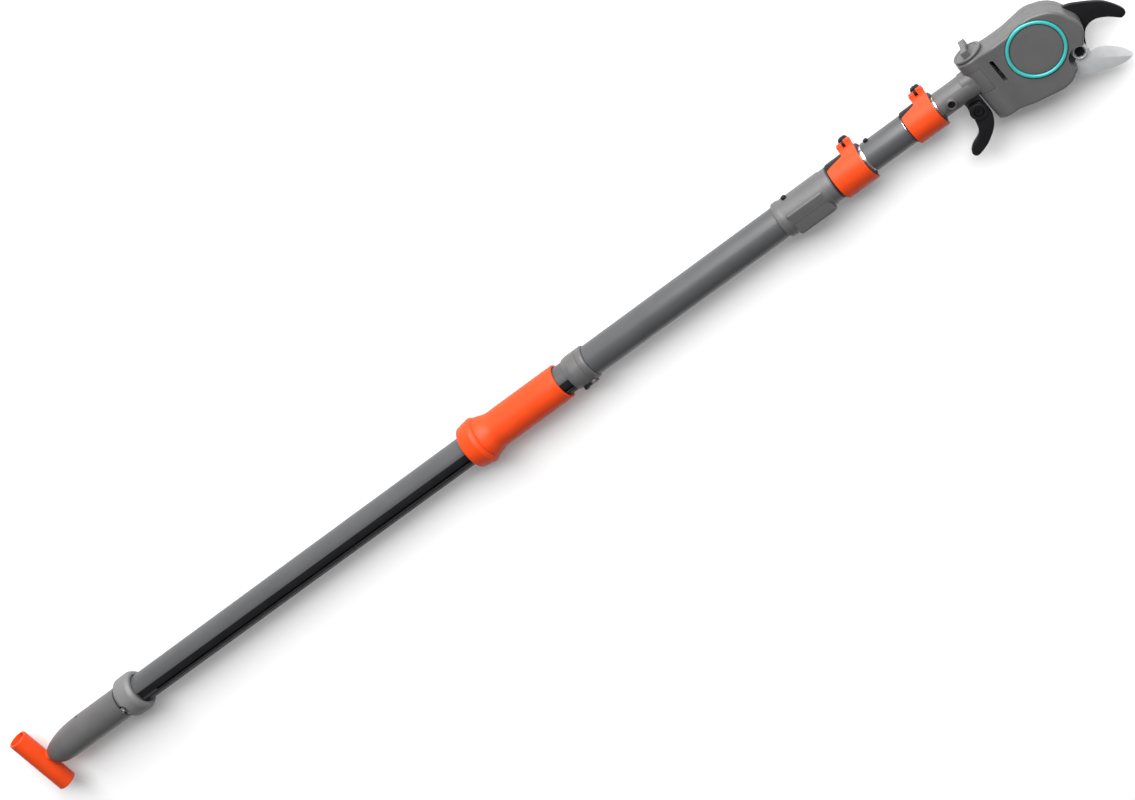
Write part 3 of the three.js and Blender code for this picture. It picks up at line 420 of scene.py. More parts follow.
def makeEndCap():
    cap = {"topTaper": 68, "lowTaper": 38, "grow": 3.7, "wall": 2.4, "mouth": 7.8, "around": 96,
           "notchAt": -721, "notchLength": 5, "notchWidth": 3.2}
    low, high = extent("end_cap")
    tip, rim = low[0], high[0] + cap["grow"]
    radius = (high[2] - low[2]) / 2

    def loft(name, starts, thin):
        # round at the rim; the +y side falls in a long circle to the nose, the -y side in a short one
        x = tip + starts * (rim - tip)
        up = np.clip((tip + cap["topTaper"] - x) / cap["topTaper"], 0, 1)
        down = np.clip((tip + cap["lowTaper"] - x) / cap["lowTaper"], 0, 1)
        top = radius * np.sqrt(1 - up ** 2)
        bottom = radius * (1 - down ** 2.6) ** (1 / 2.6)
        halfY = np.maximum((top + bottom) / 2 - thin, 0.05)
        halfZ = np.maximum(radius * np.sqrt(1 - (0.55 * up + 0.45 * down) ** 2) - thin, 0.05)
        angle = np.linspace(0, 2 * np.pi, cap["around"], endpoint=False)
        y = ((top - bottom) / 2)[:, None] + halfY[:, None] * np.cos(angle)
        z = halfZ[:, None] * np.sin(angle)
        points = np.stack([np.repeat(x[:, None], len(angle), 1), y, z], -1).reshape(-1, 3)
        ends = np.array([np.arange(len(angle)), (len(x) - 1) * len(angle) + np.arange(len(angle))])
        return meshFrom(name, points, [gridFaces(len(x), len(angle)), ends])

    outside = loft("foot_cap", 1 - np.cos(np.linspace(0.03, np.pi / 2, 40)), 0)
    hollow = loft("hollow", np.linspace(0.24, 1.02, 20), cap["wall"])
    handleLow, handleHigh = extent("t_handle_grip")
    handleRadius = (handleHigh[2] - handleLow[2]) / 2
    seat = rod("seat", -40, 40, handleRadius + 0.3, (handleLow[0] + handleRadius, 0, 0), "y", 0, 128)
    mouth = rod("mouth", tip - 5, tip + 45, cap["mouth"], (0, 0, 0), "x")
    along, across = cap["notchLength"] / 2, cap["notchWidth"] / 2
    notch = box("notch", [cap["notchAt"] - along, 15, -across], [cap["notchAt"] + along, 24, across])
    finished(cut(outside, hollow, seat, mouth, notch), "end_cap", sharp=40)


def makeEndCollar():
    collar = {"bore": 19.3, "boss": 3.1, "notch": 7, "back": 6}
    low, high = extent("end_collar")
    radius = (high[2] - low[2]) / 2
    start, end = low[0] + collar["back"], high[0]
    profile = filleted([(start, collar["bore"]), (start, radius - 4.6, 1.6), (start + 5, radius - 0.3, 4.5),
                        (start + 12, radius, 8), (end - 5, radius, 6), (end, radius - 3, 2.4),
                        (end, collar["bore"], 1)])
    ring = turned("foot_collar", profile)
    screw = middleOf("collar_screw")
    cavity = slab("cavity", filleted([(start - 2, -collar["notch"]), (start + 8.5, -collar["notch"], 4),
                                      (start + 8.5, collar["notch"], 4), (start - 2, collar["notch"])]),
                  19.6, 40, 0)
    boss = post("boss", 19.5, 23.8, collar["boss"], screw[0], 0, 0.7)
    hole = post("hole", 17, 40, 2.3, screw[0], 0)
    finished(cut(join(cut(ring, cavity), boss), hole), "end_collar")
    screwLow, screwHigh = extent("collar_screw")
    pin = post("collar_pin", screwLow[2], screwHigh[2], 1.9, screw[0], 0)
    socket = slab("socket", hexagon(screw[0], 0, 1.9), screwHigh[2] - 1.2, 40, 0)
    finished(cut(pin, socket), "collar_screw")


def makeLowerTube():
    tube = {"from": -15, "to": 60, "floor": 17.2, "slotMiddle": 22.5, "slotHalf": 2.5}
    low, high = extent("lower_tube")
    radius, bore = (high[2] - low[2]) / 2, 15.9
    outer = np.vstack([arc(radius - 0.35, tube["to"], tube["to"], 0),
                       arc(radius, tube["to"] + 1, tube["from"] + 359, 120),
                       arc(radius - 0.35, tube["from"], tube["from"], 0),
                       arc(tube["floor"], tube["from"] + 0.4, tube["to"] - 0.4, 40)])
    angle = np.arctan2(-outer[:, 0], outer[:, 1])
    inside = np.stack([-bore * np.sin(angle), bore * np.cos(angle)], 1)
    edge = 0.4
    rows = [(low[0], inset(outer, edge)), (low[0] + edge, outer), (high[0] - edge, outer),
            (high[0], inset(outer, edge)), (high[0], inside), (low[0], inside)]
    points = np.vstack([np.column_stack([np.full(len(o), x), o]) for x, o in rows])
    body = meshFrom("grooved_tube", points, [gridFaces(len(rows), len(outer), closeRows=True)])
    middle, half = np.radians(tube["slotMiddle"]), tube["slotHalf"]
    across, outwards = np.array([-np.cos(middle), -np.sin(middle)]), np.array([-np.sin(middle), np.cos(middle)])
    sides = [outwards * r + across * w for r, w in ((12, -half), (25, -half), (25, half), (12, half))]
    linerLow, linerHigh = extent("slot_liner")
    slot = slab("slot", np.array(sides), -600, 84, 0, "x")
    finished(cut(body, slot), "lower_tube", sharp=30)

    halfAngle = np.degrees(half / tube["floor"]) + 0.4
    strips = []
    for first, last in ((tube["from"] + 1.8, tube["slotMiddle"] - halfAngle),
                        (tube["slotMiddle"] + halfAngle, tube["to"] - 1.8)):
        section = np.vstack([arc(tube["floor"] + 0.9, first, last), arc(tube["floor"] + 0.1, last, first)])
        strips.append(slab("strip", section, linerLow[0], linerHigh[0], 0.2, "x", 3))
    liner = join(strips[0], strips[1])
    liner.name = "groove_floor"
    finished(liner, "slot_liner")


def makeGrip():
    grip = {"bore": 19.4, "barrel": 22.35, "dotsFrom": 50, "dotsTo": 8, "dot": 0.62, "dotHeight": 0.26,
            "pitch": 3.6, "fallFrom": 24.2, "fallLength": 21, "fallStep": 3.6}
    low, high = extent("grip_sleeve")
    start, end = low[0], high[0]
    flange = (high[2] - low[2]) / 2 - 1
    sweep = np.linspace(0, 1, 40)[1:-1]
    # from the flange's lip the radius falls to the barrel along a cosine that ends level
    drop = (flange - grip["fallStep"] - grip["barrel"]) * (0.5 + 0.5 * np.cos(np.pi * sweep)) ** 1.5
    fall = np.column_stack([start + grip["fallFrom"] + grip["fallLength"] * sweep, grip["barrel"] + drop])
    lip = filleted([(start + 1, grip["bore"]), (start, 25.4, 1.5), (start + 1.5, 27.4, 2),
                    (start + 12, flange - 0.9, 6), (start + 18.8, flange, 3),
                    (start + 23.4, flange - 2.8, 3), (start + 25.2, grip["bore"])])[:-1]
    tail = filleted([(end - 30, grip["barrel"]), (end, grip["barrel"], 1.1), (end, grip["bore"], 0.5),
                     (end - 30, grip["bore"])])[:-1]
    profile = np.vstack([lip, fall, tail])
    finished(turned("pull_grip", profile, count=160), "grip_sleeve", sharp=40)

    # rows of small domes round the barrel, every second row set half a pitch on
    dotsStart = start + grip["dotsFrom"]
    count = int((end - grip["dotsTo"] - dotsStart) / grip["pitch"]) + 1
    around = int(2 * np.pi * grip["barrel"] / grip["pitch"])
    row, column = np.meshgrid(np.arange(count), np.arange(around), indexing="ij")
    x0 = (dotsStart + row * grip["pitch"]).ravel()
    angle0 = ((column + 0.5 * (row % 2)) * 2 * np.pi / around).ravel()
    rings = np.array([1, 0.62])
    turn = np.linspace(0, 2 * np.pi, 6, endpoint=False)
    dx = np.concatenate([np.outer(rings, np.cos(turn)).ravel(), [0]]) * grip["dot"]
    dy = np.concatenate([np.outer(rings, np.sin(turn)).ravel(), [0]]) * grip["dot"]
    rise = np.concatenate([np.repeat([-0.08, 0.75], 6), [1]]) * grip["dotHeight"]
    x = x0[:, None] + dx
    angle = angle0[:, None] + dy / grip["barrel"]
    r = grip["barrel"] + rise
    points = np.stack([x, -r * np.sin(angle), r * np.cos(angle)], -1).reshape(-1, 3)
    side = gridFaces(2, 6)
    top = np.array([[6 + i, 6 + (i + 1) % 6, 12] for i in range(6)])
    base = np.arange(6)[::-1][None, :]
    shift = (np.arange(len(x0)) * 13)[:, None, None]
    sets = [(faces[None] + shift).reshape(-1, faces.shape[1]) for faces in (side, top, base)]
    dots = meshFrom("grip_dots", points, sets)
    dots.data.shade_smooth()
    dots.data.materials.append(materials["orange_plastic"])
    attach(dots, bodyOf["grip_sleeve"])


def makeJoint():
    joint = {"angle": 62, "half": 4.5, "room": 0.3, "radius": 21.3, "bore": 19.3, "seamBack": 9}
    low, high = extent("joint_collar")
    start, end = low[0], high[0]
    bore, outer, seam = joint["bore"], joint["radius"], end - joint["seamBack"]
    profile = filleted([(start, bore), (start, 20.3, 0.5), (start + 7, outer, 6),
                        (seam - 0.9, outer, 0.4), (seam - 0.3, outer - 0.7, 0.2),
                        (seam + 0.3, outer - 0.7, 0.2), (seam + 0.9, outer, 0.4),
                        (end - 1.5, outer, 3), (end, outer - 1.8, 1), (end, bore)])
    ring = turned("tube_collar", profile)
    cheeks = slab("cheeks", rectangle(97.5, 104, -7.1, 7.1, 2), 19.6, 23.6, 0.8)
    wide = joint["half"] + joint["room"]
    pocket = box("pocket", [85.7, -wide, 18.9], [102.3, wide, 40])
    aroundPole(cheeks, joint["angle"])
    aroundPole(pocket, joint["angle"])
    finished(cut(join(ring, cheeks), pocket), "joint_collar")

    side = filleted([(86, 19.6, 0.4), (102, 19.6, 0.6), (102, 23.6, 1.8), (91.5, 23.6, 3), (88.5, 25.1, 1),
                     (86, 25.1, 1)])
    latch = slab("collar_latch", side, -joint["half"], joint["half"], 0.6, "y")
    aroundPole(latch, joint["angle"])
    finished(latch, "joint_latch")
    pin = rod("latch_rod", -6.9, 6.9, 1.1, (100.5, 0, 21.7), "y")
    aroundPole(pin, joint["angle"])
    finished(pin, "latch_pin")


def aroundPole(piece, degrees):
    axis = Matrix.Translation(Vector(poleAxis))
    piece.data.transform(axis @ Matrix.Rotation(np.radians(degrees), 4, "X") @ axis.inverted())


def makeTube(name, node, wall, edge=0.35):
    low, high = extent(node)
    radius = (high[2] - low[2]) / 2
    profile = filleted([(low[0], radius - wall, edge / 2), (low[0], radius, edge), (high[0], radius, edge),
                        (high[0], radius - wall, edge / 2)])
    finished(turned(name, profile, count=144), node)


def makeFerrule():
    ferrule = {"lip": 22.2, "body": 21.1, "neck": 20.3, "bore": 19.2}
    low, high = extent("tube_ferrule")
    start, end = low[0], high[0]
    profile = filleted([(start, ferrule["bore"]), (start, ferrule["lip"], 1.6),
                        (start + 7, ferrule["lip"], 2.5), (start + 9, ferrule["body"], 2.5),
                        (end - 10.5, ferrule["body"], 1.2), (end - 9.3, ferrule["neck"], 1),
                        (end, ferrule["neck"], 0.4), (end, ferrule["bore"])])
    finished(turned("end_ferrule", profile, count=144), "tube_ferrule")

    # the pad is a box bent over the ferrule: two flat faces that meet in a soft ridge
    pad = {"inner": 21.35, "root": 17, "from": -27, "to": 76, "ridgeAt": 45, "edge": 3.2}
    padLow, padHigh = extent("ferrule_pad")
    corners = [(24.9, pad["from"], 4), (27.9, pad["ridgeAt"], 4.5), (25.2, pad["to"], 4),
               (pad["root"], pad["to"], 0), (pad["root"], pad["from"], 0)]
    section = filleted([(*arc(r, angle, angle, 0)[0], bend) for r, angle, bend in corners], 8)
    block = slab("ferrule_box", section, padLow[0], padHigh[0], pad["edge"], "x", 8)
    room = rod("room", padLow[0] - 5, padHigh[0] + 5, pad["inner"], (0, 0, 0), "x", 0, 144)
    finished(cut(block, room), "ferrule_pad")


def makeButton(name, node):
    low, high = extent(node)
    centre = middleOf(node)
    radius = (high[0] - low[0]) / 2
    profile = filleted([(low[1] - 1.2, 0), (low[1] - 1.2, radius), (high[1] - 0.4, radius, 1.2),
                        (high[1], radius * 0.5, 1), (high[1], 0)])
    finished(turned(name, profile, (centre[0], 0, centre[2]), "y", 48), node)


def makeClamp(number, ring, shell, bore, over, stop):
    prefix = f"clamp_{number}_"
    clamp = {"thick": shell - ring - 0.3, "earHalf": 8.7, "corner": 4, "neckCorner": 6,
             "slot": 1.9, "eye": 1.5, "lugHalf": 5.6, "lugTop": 3.1, "lugBack": -12.2, "lugFront": -6,
             "tipRound": 2.6, "pinHole": 1.8}
    low, high = extent(prefix + "lever")
    ringLow, ringHigh = extent(prefix + "ring")
    pin = middleOf(prefix + "pin")
    eyeX = middleOf(prefix + "eyebolt")[0]
    pinY = pin[1]

    # ring: bored twice, split at the ear side between two lugs
    start, end = ringLow[0], ringHigh[0]
    profile = filleted([(start, over), (start, ring, 1), (end, ring, 1), (end, bore, 0.5), (stop, bore, 0.3),
                        (stop, over, 0.3)])
    body = turned(prefix + "band", profile)
    lugLeft, lugRight, lugTop = eyeX - clamp["lugHalf"], eyeX + clamp["lugHalf"], pinY + clamp["lugTop"]
    lugs = slab("lugs", filleted([(lugLeft, ring - 4), (lugRight, ring - 4), (lugRight, lugTop, 3),
                                  (lugLeft, lugTop, 3)]), clamp["lugBack"], clamp["lugFront"], 0.8)
    room = rod("room", start - 2, end + 2, bore + 0.6, (0, 0, 0), "x", 0, 128)
    split = box("split", [start + 6, bore - 3, -9.6], [end + 1, pinY + 6, -8.4])
    bolt = post("bolt", -16, 0, 2.2, eyeX, pinY)
    finished(cut(join(body, cut(lugs, room)), split, bolt), prefix + "ring")

    # lever: a strip carried round the ring, then bent outwards to the pin
    middleRadius = ring + 0.3 + clamp["thick"] / 2
    leave = -66
    wrap = arc(middleRadius, 88, leave, 44)
    direction = np.array([np.cos(np.radians(leave)), np.sin(np.radians(leave))])
    ease = np.linspace(0, 1, 17)[1:, None]
    target = np.array([pinY + 3.2, 1.2])
    reach = np.linalg.norm(target - wrap[-1])
    control = wrap[-1] + direction * reach * 0.42
    bend = (1 - ease) ** 2 * wrap[-1] + 2 * ease * (1 - ease) * control + ease ** 2 * target
    path = np.vstack([wrap, bend])
    step = np.linalg.norm(np.diff(path, axis=0), axis=1)
    length = np.concatenate([[0], np.cumsum(step)])
    tangent = np.gradient(path, axis=0)
    tangent /= np.linalg.norm(tangent, axis=1, keepdims=True)
    normal = np.stack([-tangent[:, 1], tangent[:, 0]], 1)
    normal *= np.sign(np.sum(normal[0] * path[0]))
    # both sides run straight, are rounded at the free end and narrow to the ear
    corner = clamp["corner"]
    lead = np.clip(corner - length, 0, corner)
    roundOff = corner - np.sqrt(np.maximum(corner ** 2 - lead ** 2, 0))
    earFrom = length[44] - 3
    blend = np.clip((length - earFrom) / clamp["neckCorner"], 0, 1)
    blend = blend * blend * (3 - 2 * blend)
    left = (low[0] + roundOff) * (1 - blend) + (eyeX - clamp["earHalf"]) * blend
    right = (high[0] - roundOff) * (1 - blend) + (eyeX + clamp["earHalf"]) * blend
    tip = clamp["tipRound"]
    tailLead = np.clip(length - (length[-1] - tip), 0, tip)
    taper = tip - np.sqrt(np.maximum(tip ** 2 - tailLead ** 2, 0))
    left, right = left + taper, right - taper
    thick = np.full(len(path), clamp["thick"]) * (1 + 0.9 * blend)
    # rounded rectangle across the strip
    unit = filleted([(-1, -1, 0.02), (1, -1, 0.02), (1, 1, 0.09), (-1, 1, 0.09)], 5)
    halfX = (right - left) / 2
    sideX = (left + right) / 2
    ux, ut = unit[:, 0], unit[:, 1]
    x = sideX[:, None] + halfX[:, None] * ux
    offset = thick[:, None] / 2 * ut
    yz = path[:, None, :] + offset[:, :, None] * normal[:, None, :]
    points = np.concatenate([x[:, :, None], yz], -1).reshape(-1, 3)
    rows, columns = len(path), len(unit)
    caps = np.array([np.arange(columns), (rows - 1) * columns + np.arange(columns)])
    lever = meshFrom(prefix + "arm", points, [gridFaces(rows, columns), caps])
    knuckle = rod("knuckle", eyeX - clamp["earHalf"], eyeX + clamp["earHalf"], 3.6, (0, pinY, 0), "x", 0.8)
    short = box("short", [eyeX - 20, pinY + 1.6, -12], [eyeX, pinY + 12, 12])
    fork = box("fork", [eyeX - clamp["slot"], pinY - 3.4, -12], [eyeX + clamp["slot"], pinY + 12, 12])
    hole = rod("hole", eyeX - 20, eyeX + 20, clamp["pinHole"], (0, pinY, 0), "x")
    clear = rod("clear", start - 5, end + 5, ring + 0.25, (0, 0, 0), "x", 0, 128)
    finished(cut(join(lever, knuckle), clear, fork, short, hole), prefix + "lever", sharp=38)

    eye = rod(prefix + "eye", eyeX - clamp["eye"], eyeX + clamp["eye"], 2.9, (0, pinY, 0), "x", 0.4)
    shank = post("shank", -17, 0, 1.9, eyeX, pinY)
    hole = rod("hole", eyeX - 5, eyeX + 5, 1.75, (0, pinY, 0), "x")
    finished(cut(join(eye, shank), hole), prefix + "eyebolt")
    nut = slab(prefix + "hexnut", hexagon(eyeX, pinY, 6.4), -15.6, -12.3, 0.4)
    hole = post("hole", -20, 0, 2.1, eyeX, pinY)
    finished(cut(nut, hole), prefix + "nut")
    pinLow, pinHigh = extent(prefix + "pin")
    finished(rod(prefix + "rod", pinLow[0], pinHigh[0], 1.5, (0, pinY, 0), "x"), prefix + "pin")


def makeNeck():
    neck = {"edge": 1.4, "tongue": 17.1, "bolt": 3.45, "screwX": 617.5}
    low, high = extent("neck")
    tilt = middleOf("tilt_knob")[0]
    start = low[0]
    socketRadius, neckRadius = 15, 13.8
    tongueLow, tongueHigh = -14.2, high[1]
    profile = filleted([(start, 0), (start, socketRadius, neck["edge"]), (641, socketRadius, 10),
                        (651, neckRadius, 2), (651, 0)])
    body = turned("tilt_neck", profile, count=144)
    cheek = slab("cheek", rectangle(tongueLow, tongueHigh, -13.6, 13.6, 10), 637, tilt, 0.5, "x")
    tongue = rod("tongue", tongueLow, tongueHigh, neck["tongue"], (tilt, 0, 0), "y", 0.6, 160)
    boss = post("boss", 8, 18.4, 6.2, neck["screwX"], 0, 1.2)
    hook = middleOf("hook_screw")
    lug = slab("lug", filleted([(624, -10, 0), (642, -10, 0), (642, hook[1] - 9, 8.8),
                                (624, hook[1] - 9, 8.8)]), -9, -2.4, 0.8)
    body = join(body, cheek, tongue, boss, lug)
    bore = rod("bore", start - 1, 628.4, 13.35, (0, 0, 0), "x", 0, 128)
    way = box("way", [628, -8, -9], [tilt + 30, 8, 9])
    bolt = rod("bolt", -40, 40, neck["bolt"], (tilt, 0, 0), "y")
    recess = post("recess", 14.5, 40, 4.3, neck["screwX"], 0)
    deep = post("deep", 9, 40, 2.4, neck["screwX"], 0)
    hole = post("hole", -12, 8, 2.2, hook[0], hook[1])
    finished(cut(body, bore, way, bolt, recess, deep, hole), "neck", sharp=34)

    screwLow, screwHigh = extent("neck_screw")
    screw = post("neck_screw_head", screwLow[2], screwHigh[2], 3.9, neck["screwX"], 0, 0.6)
    socket = slab("socket", hexagon(neck["screwX"], 0, 3.6), screwLow[2] + 1, 40, 0)
    finished(cut(screw, socket), "neck_screw")


def makeHook():
    hook = {"edge": 2.3, "boss": 10, "recess": 6, "shank": 2.2}
    low, high = extent("branch_hook")
    screw = middleOf("hook_screw")
    bossX, bossY = screw[0], screw[1]
    arm = closedSpline([(625, -22), (622.5, -40), (617, -52), (604, -59), (598, -66), (600.5, -71.5),
                        (606, -71.5), (618.7, -67), (633, -57), (641, -46), (643.2, -34), (641, -22),
                        (633, -19.6), (627, -20)])
    top = high[2] - 1.5
    body = slab("saddle_hook", arm, low[2], top, hook["edge"], "z", 8)
    boss = post("boss", low[2], high[2], hook["boss"], bossX, bossY, 1.3, 96)
    recess = post("recess", 4, 40, hook["recess"], bossX, bossY, 0.4, 96)
    hole = post("hole", low[2] - 2, 40, hook["shank"], bossX, bossY)
    neckRoom = rod("neckRoom", 600, 660, 15.3, (0, 0, 0), "x", 0, 128)
    finished(cut(join(body, boss), recess, hole, neckRoom), "branch_hook")
    screwLow, screwHigh = extent("hook_screw")
    head = post("hook_bolt", 4.2, screwHigh[2], 5.4, bossX, bossY, 1.1, 96)
    shank = post("shank", screwLow[2], 5, 1.9, bossX, bossY)
    socket = slab("socket", hexagon(bossX, bossY, 4.4), 5.8, 40, 0)
    finished(cut(join(head, shank), socket), "hook_screw")


shell = {"barrel": 17.5, "ramp": 30, "slotStart": 676.5, "slotEnd": 681.2, "edge": 3.2, "split": 0.15,
         "wall": 2.6, "rows": 110, "columns": 80, "least": 12.5, "bite": 13.5}
pivotAt = middleOf("blade_bush")
tiltX = middleOf("tilt_bolt")[0]


def headOutline(steps=12):
    left = tiltX - shell["barrel"]
    return filleted([(left, -51.5, 1.5), (672, -51.5, 26), (730, -62.5, 29), (762, -36.5, 30), (779, -12, 18),
                     (763, 22, 46), (737, 32, 26), (707, 28.3, 30), (left, 28, 1.5)], steps)


def shellHeight(x, face):
    # a half barrel round the tilt axis that runs in an even S to the flat face
    barrel = np.sqrt(np.maximum(shell["barrel"] ** 2 - (x - tiltX) ** 2, 0))
    t = np.clip((x - tiltX) / shell["ramp"], 0, 1)
    ramp = shell["barrel"] + (face - shell["barrel"]) * t * t * (3 - 2 * t)
    return np.where(x < tiltX, barrel, ramp)


def shellSolid(name, side, face):
    edge = headOutline()
    turning = int(np.argmax(edge[:, 0]))
    lower, upper = edge[:turning + 1], edge[turning:][::-1]
    left, right = edge[:, 0].min(), edge[:, 0].max()
    rows, columns = shell["rows"], shell["columns"]
    x = left + (right - left) * (1 - np.cos(np.linspace(0, np.pi, rows))) / 2
    across = (1 - np.cos(np.linspace(0, np.pi, columns))) / 2
    bottom, top = np.interp(x, *lower.T)[:, None], np.interp(x, *upper.T)[:, None]
    y = bottom + (top - bottom) * across
    x = np.repeat(x[:, None], columns, 1)
    # the height falls along a quarter ellipse towards every edge but the barrel's own side
    height = shellHeight(x, face)
    rim = shell["edge"]
    gap = np.minimum(gapTo(np.stack([x.ravel(), y.ravel()], 1), edge), rim).reshape(x.shape)
    height = height - np.minimum(height, rim) * (1 - np.sqrt(1 - (1 - gap / rim) ** 2))
    height = np.maximum(height, shell["split"])
    index = np.arange(rows * columns).reshape(rows, columns)
    border = np.concatenate([index[0], index[1:, -1], index[-2:0:-1, 0]])
    field = np.stack([x, y, side * height], -1).reshape(-1, 3)
    under = field[border] * [1, 1, 0] + [0, 0, side * shell["split"]]
    rim = np.stack([border, len(field) + np.arange(len(border))])
    walls = np.concatenate([rim, np.roll(rim, -1, 1)[::-1]]).T
    faces = [gridFaces(rows, columns, False, False), walls, rim[1:]]
    return meshFrom(name, np.concatenate([field, under]), faces)


def jawOutline(grow=0):
    beak = [(766, 8), (775.5, 7.4), (786.2, 1.3), (796.4, -5.5), (805.8, -13.5), (813.1, -24.3), (817.2, -33.7),
            (816.4, -39.4), (810.5, -41), (805.1, -36.1), (798.6, -30.3), (789, -24.9), (779.9, -24.7),
            (773.2, -28.1), (768.6, -34), (765, -41), (763, -45), (757, -50), (749, -48), (746, -40),
            (752.5, -22), (757, -4)]
    return inset(closedSpline(beak), -grow)


def bladeOutline(grow=0):
    edge = [(763.5, -44), (764.2, -50), (769.2, -51.1), (774.2, -52.6), (782.2, -58.4), (790.9, -67.6),
            (796.2, -77.3), (796, -82), (787.2, -83.9), (773.8, -81.5), (761.6, -77.3), (750.1, -72.1),
            (740.1, -64.6), (738.4, -60.1), (742, -54), (748, -46)]
    return inset(closedSpline(edge), -grow)


def turnedAbout(outline, centre, degrees):
    angle = np.radians(degrees)
    spin = np.array([[np.cos(angle), np.sin(angle)], [-np.sin(angle), np.cos(angle)]])
    return (outline - centre) @ spin + centre


def makeShells():
    px, py = pivotAt[:2]
    pivot = (px, py, 0)
    jawLow, jawHigh = extent("fixed_jaw")
    bladeLow, bladeHigh = extent("moving_blade")
    neckHigh = extent("neck")[1]
    gap, windowLow, neckRadius = 0.3, -14.5, 17.9
    windowTop = neckHigh[1] + gap
    bladeFloor, bladeTop = bladeLow[2] - gap, bladeHigh[2] + gap
    screws = [middleOf(f"housing_screw_{i}")[:2] for i in (1, 2, 3, 4)]
    for name, node, side in (("head_cover", "head_front_shell", 1), ("head_base", "head_back_shell", -1)):
        face = extent(node)[0 if side < 0 else 1][2] * side
        body = shellSolid(name, side, max(face, shell["least"]))
        hollow = inset(headOutline(6), shell["wall"])
        hollow = hollow[hollow[:, 0] > 686]
        low, high = sorted((side * -1, side * (face - shell["wall"])))
        cavity = cut(slab("cavity", hollow, low, high, 0),
                     rod("ring", -50, 50, shell["bite"] + 2.2, pivot, "z", 0, 96))
        slot = rectangle(shell["slotStart"], shell["slotEnd"], windowLow, windowTop, 2.2)
        cutters = [cavity, slab("slot", slot, -40, 40, 0),
                   rod("window", windowLow, windowTop, neckRadius, (tiltX, 0, 0), "y", 0, 160),
                   box("open", [600, windowLow, -30], [tiltX, windowTop, 30]),
                   box("strapWay", [tiltX + 10, -8, -9], [688, 14, 10]),
                   rod("tiltHole", -70, 40, 3.45, (tiltX, 0, 0), "y"),
                   slab("headPocket", hexagon(tiltX, 0, 11.4), -70, -45.5, 0, "y"),
                   slab("jawRoom", jawOutline(gap), jawLow[2] - gap, jawHigh[2] + gap, 0),
                   rod("bladeRoom", bladeFloor, bladeTop, 21.2, pivot, "z", 0, 128)]
        for degrees in (0, 15, 30, 45, 60):
            swept = turnedAbout(bladeOutline(0.4), (px, py), degrees)
            cutters.append(slab("sweep", swept, bladeFloor, bladeTop, 0))
        if side > 0:
            cutters.append(rod("bite", bladeLow[2], 40, shell["bite"], pivot, "z", 0, 128))
            disc = middleOf("disc_ring")
            ringLow, ringHigh = extent("disc_ring")
            cutters.append(rod("discSeat", face - 1.6, 40, (ringHigh[0] - ringLow[0]) / 2 + 1.1,
                               (disc[0], disc[1], 0), "z", 0, 160))
        else:
            nutHigh = extent("pivot_nut")[1][2]
            cutters.append(slab("nutRoom", hexagon(px, py, 12.2), -40, nutHigh + gap, 0))
            cutters.append(rod("boltRoom", -40, 1, 4.8, pivot, "z", 0))
            for x, y in screws:
                cutters.append(post("screwRoom", -40, -face + 4, 3.7, x, y, 0))
        cut(body, *cutters)
        finished(body, node, sharp=30)
        print("shell", name, len(body.data.polygons))


def makeHeadTrim():
    low, high = extent("disc_ring")
    centre = middleOf("disc_ring")
    coverLow, coverHigh = extent("disc_cover")
    outer, inner = (high[0] - low[0]) / 2, (coverHigh[0] - coverLow[0]) / 2
    inside = inner + 1
    top, seat = high[2] + 0.5, low[2] - 1.1
    ring = filleted([(seat, inside), (seat, outer), (top, outer, 1.6), (top, inside, 1.6)])
    finished(turned("accent_ring", ring, (centre[0], centre[1], 0), "z", 192), "disc_ring")
    cover = filleted([(seat, 0), (seat, inner), (coverHigh[2] - 0.25, inner, 0.35),
                      (coverHigh[2] - 0.1, inner - 2.6, 1.5), (coverHigh[2], inner - 5, 4), (coverHigh[2], 0)])
    finished(turned("accent_disc", cover, (centre[0], centre[1], 0), "z", 192), "disc_cover")

    for i in (1, 2, 3, 4):
        node = f"housing_screw_{i}"
        screwLow, screwHigh = extent(node)
        x, y = middleOf(node)[:2]
        head = post(f"cover_screw_{i}", screwLow[2], screwLow[2] + 2.6, 3.2, x, y, 0.9)
        shank = post("shank", screwLow[2] + 1, screwHigh[2], 1.45, x, y)
        socket = slab("socket", hexagon(x, y, 2.7), screwLow[2] - 3, screwLow[2] + 1.2, 0)
        finished(cut(join(head, shank), socket), node)

    bolt = {"radius": 3.2, "head": 5.9}
    low, high = extent("tilt_bolt")
    head = slab("tilt_screw", hexagon(tiltX, 0, bolt["head"] * np.sqrt(3)), low[1], low[1] + 4, 0.5, "y")
    shank = rod("shank", low[1] + 1, high[1], bolt["radius"], (tiltX, 0, 0), "y")
    finished(join(head, shank), "tilt_bolt")


def makeKnob():
    knob = {"radius": 17, "face": 32.5, "waist": 2.5, "wing": 3.9}
    low, high = extent("tilt_knob")
    x = (low[0] + high[0]) / 2
    base, face, top = low[1], knob["face"], high[1]
    profile = filleted([(base, 0), (base, knob["radius"] - 1.2, 0.6), (base + 1.2, knob["radius"], 1),
                        (face - 0.6, knob["radius"], 1.4), (face, knob["radius"] - 3, 1),
                        (face - 0.9, knob["radius"] - 4.2, 0.8), (face - 0.9, 0)])
    dial = turned("tilt_dial", profile, (x, 0, 0), "y", 128)
    half = knob["radius"] - 1.2
    # the wing is waisted: wide at both ends, narrow in the middle
    along = np.linspace(-1, 1, 25)
    width = knob["waist"] + (knob["wing"] - knob["waist"]) * along ** 2
    right = np.column_stack([x + width, along * half])
    outline = np.vstack([right, np.column_stack([x - width, along * half])[::-1]])
    wing = slab("wing", outline, face - 2, top, 0.9, "y", 6)
    bore = rod("bore", 0, face - 2.5, 3.45, (x, 0, 0), "y")
    finished(cut(join(dial, wing), bore), "tilt_knob", sharp=38)


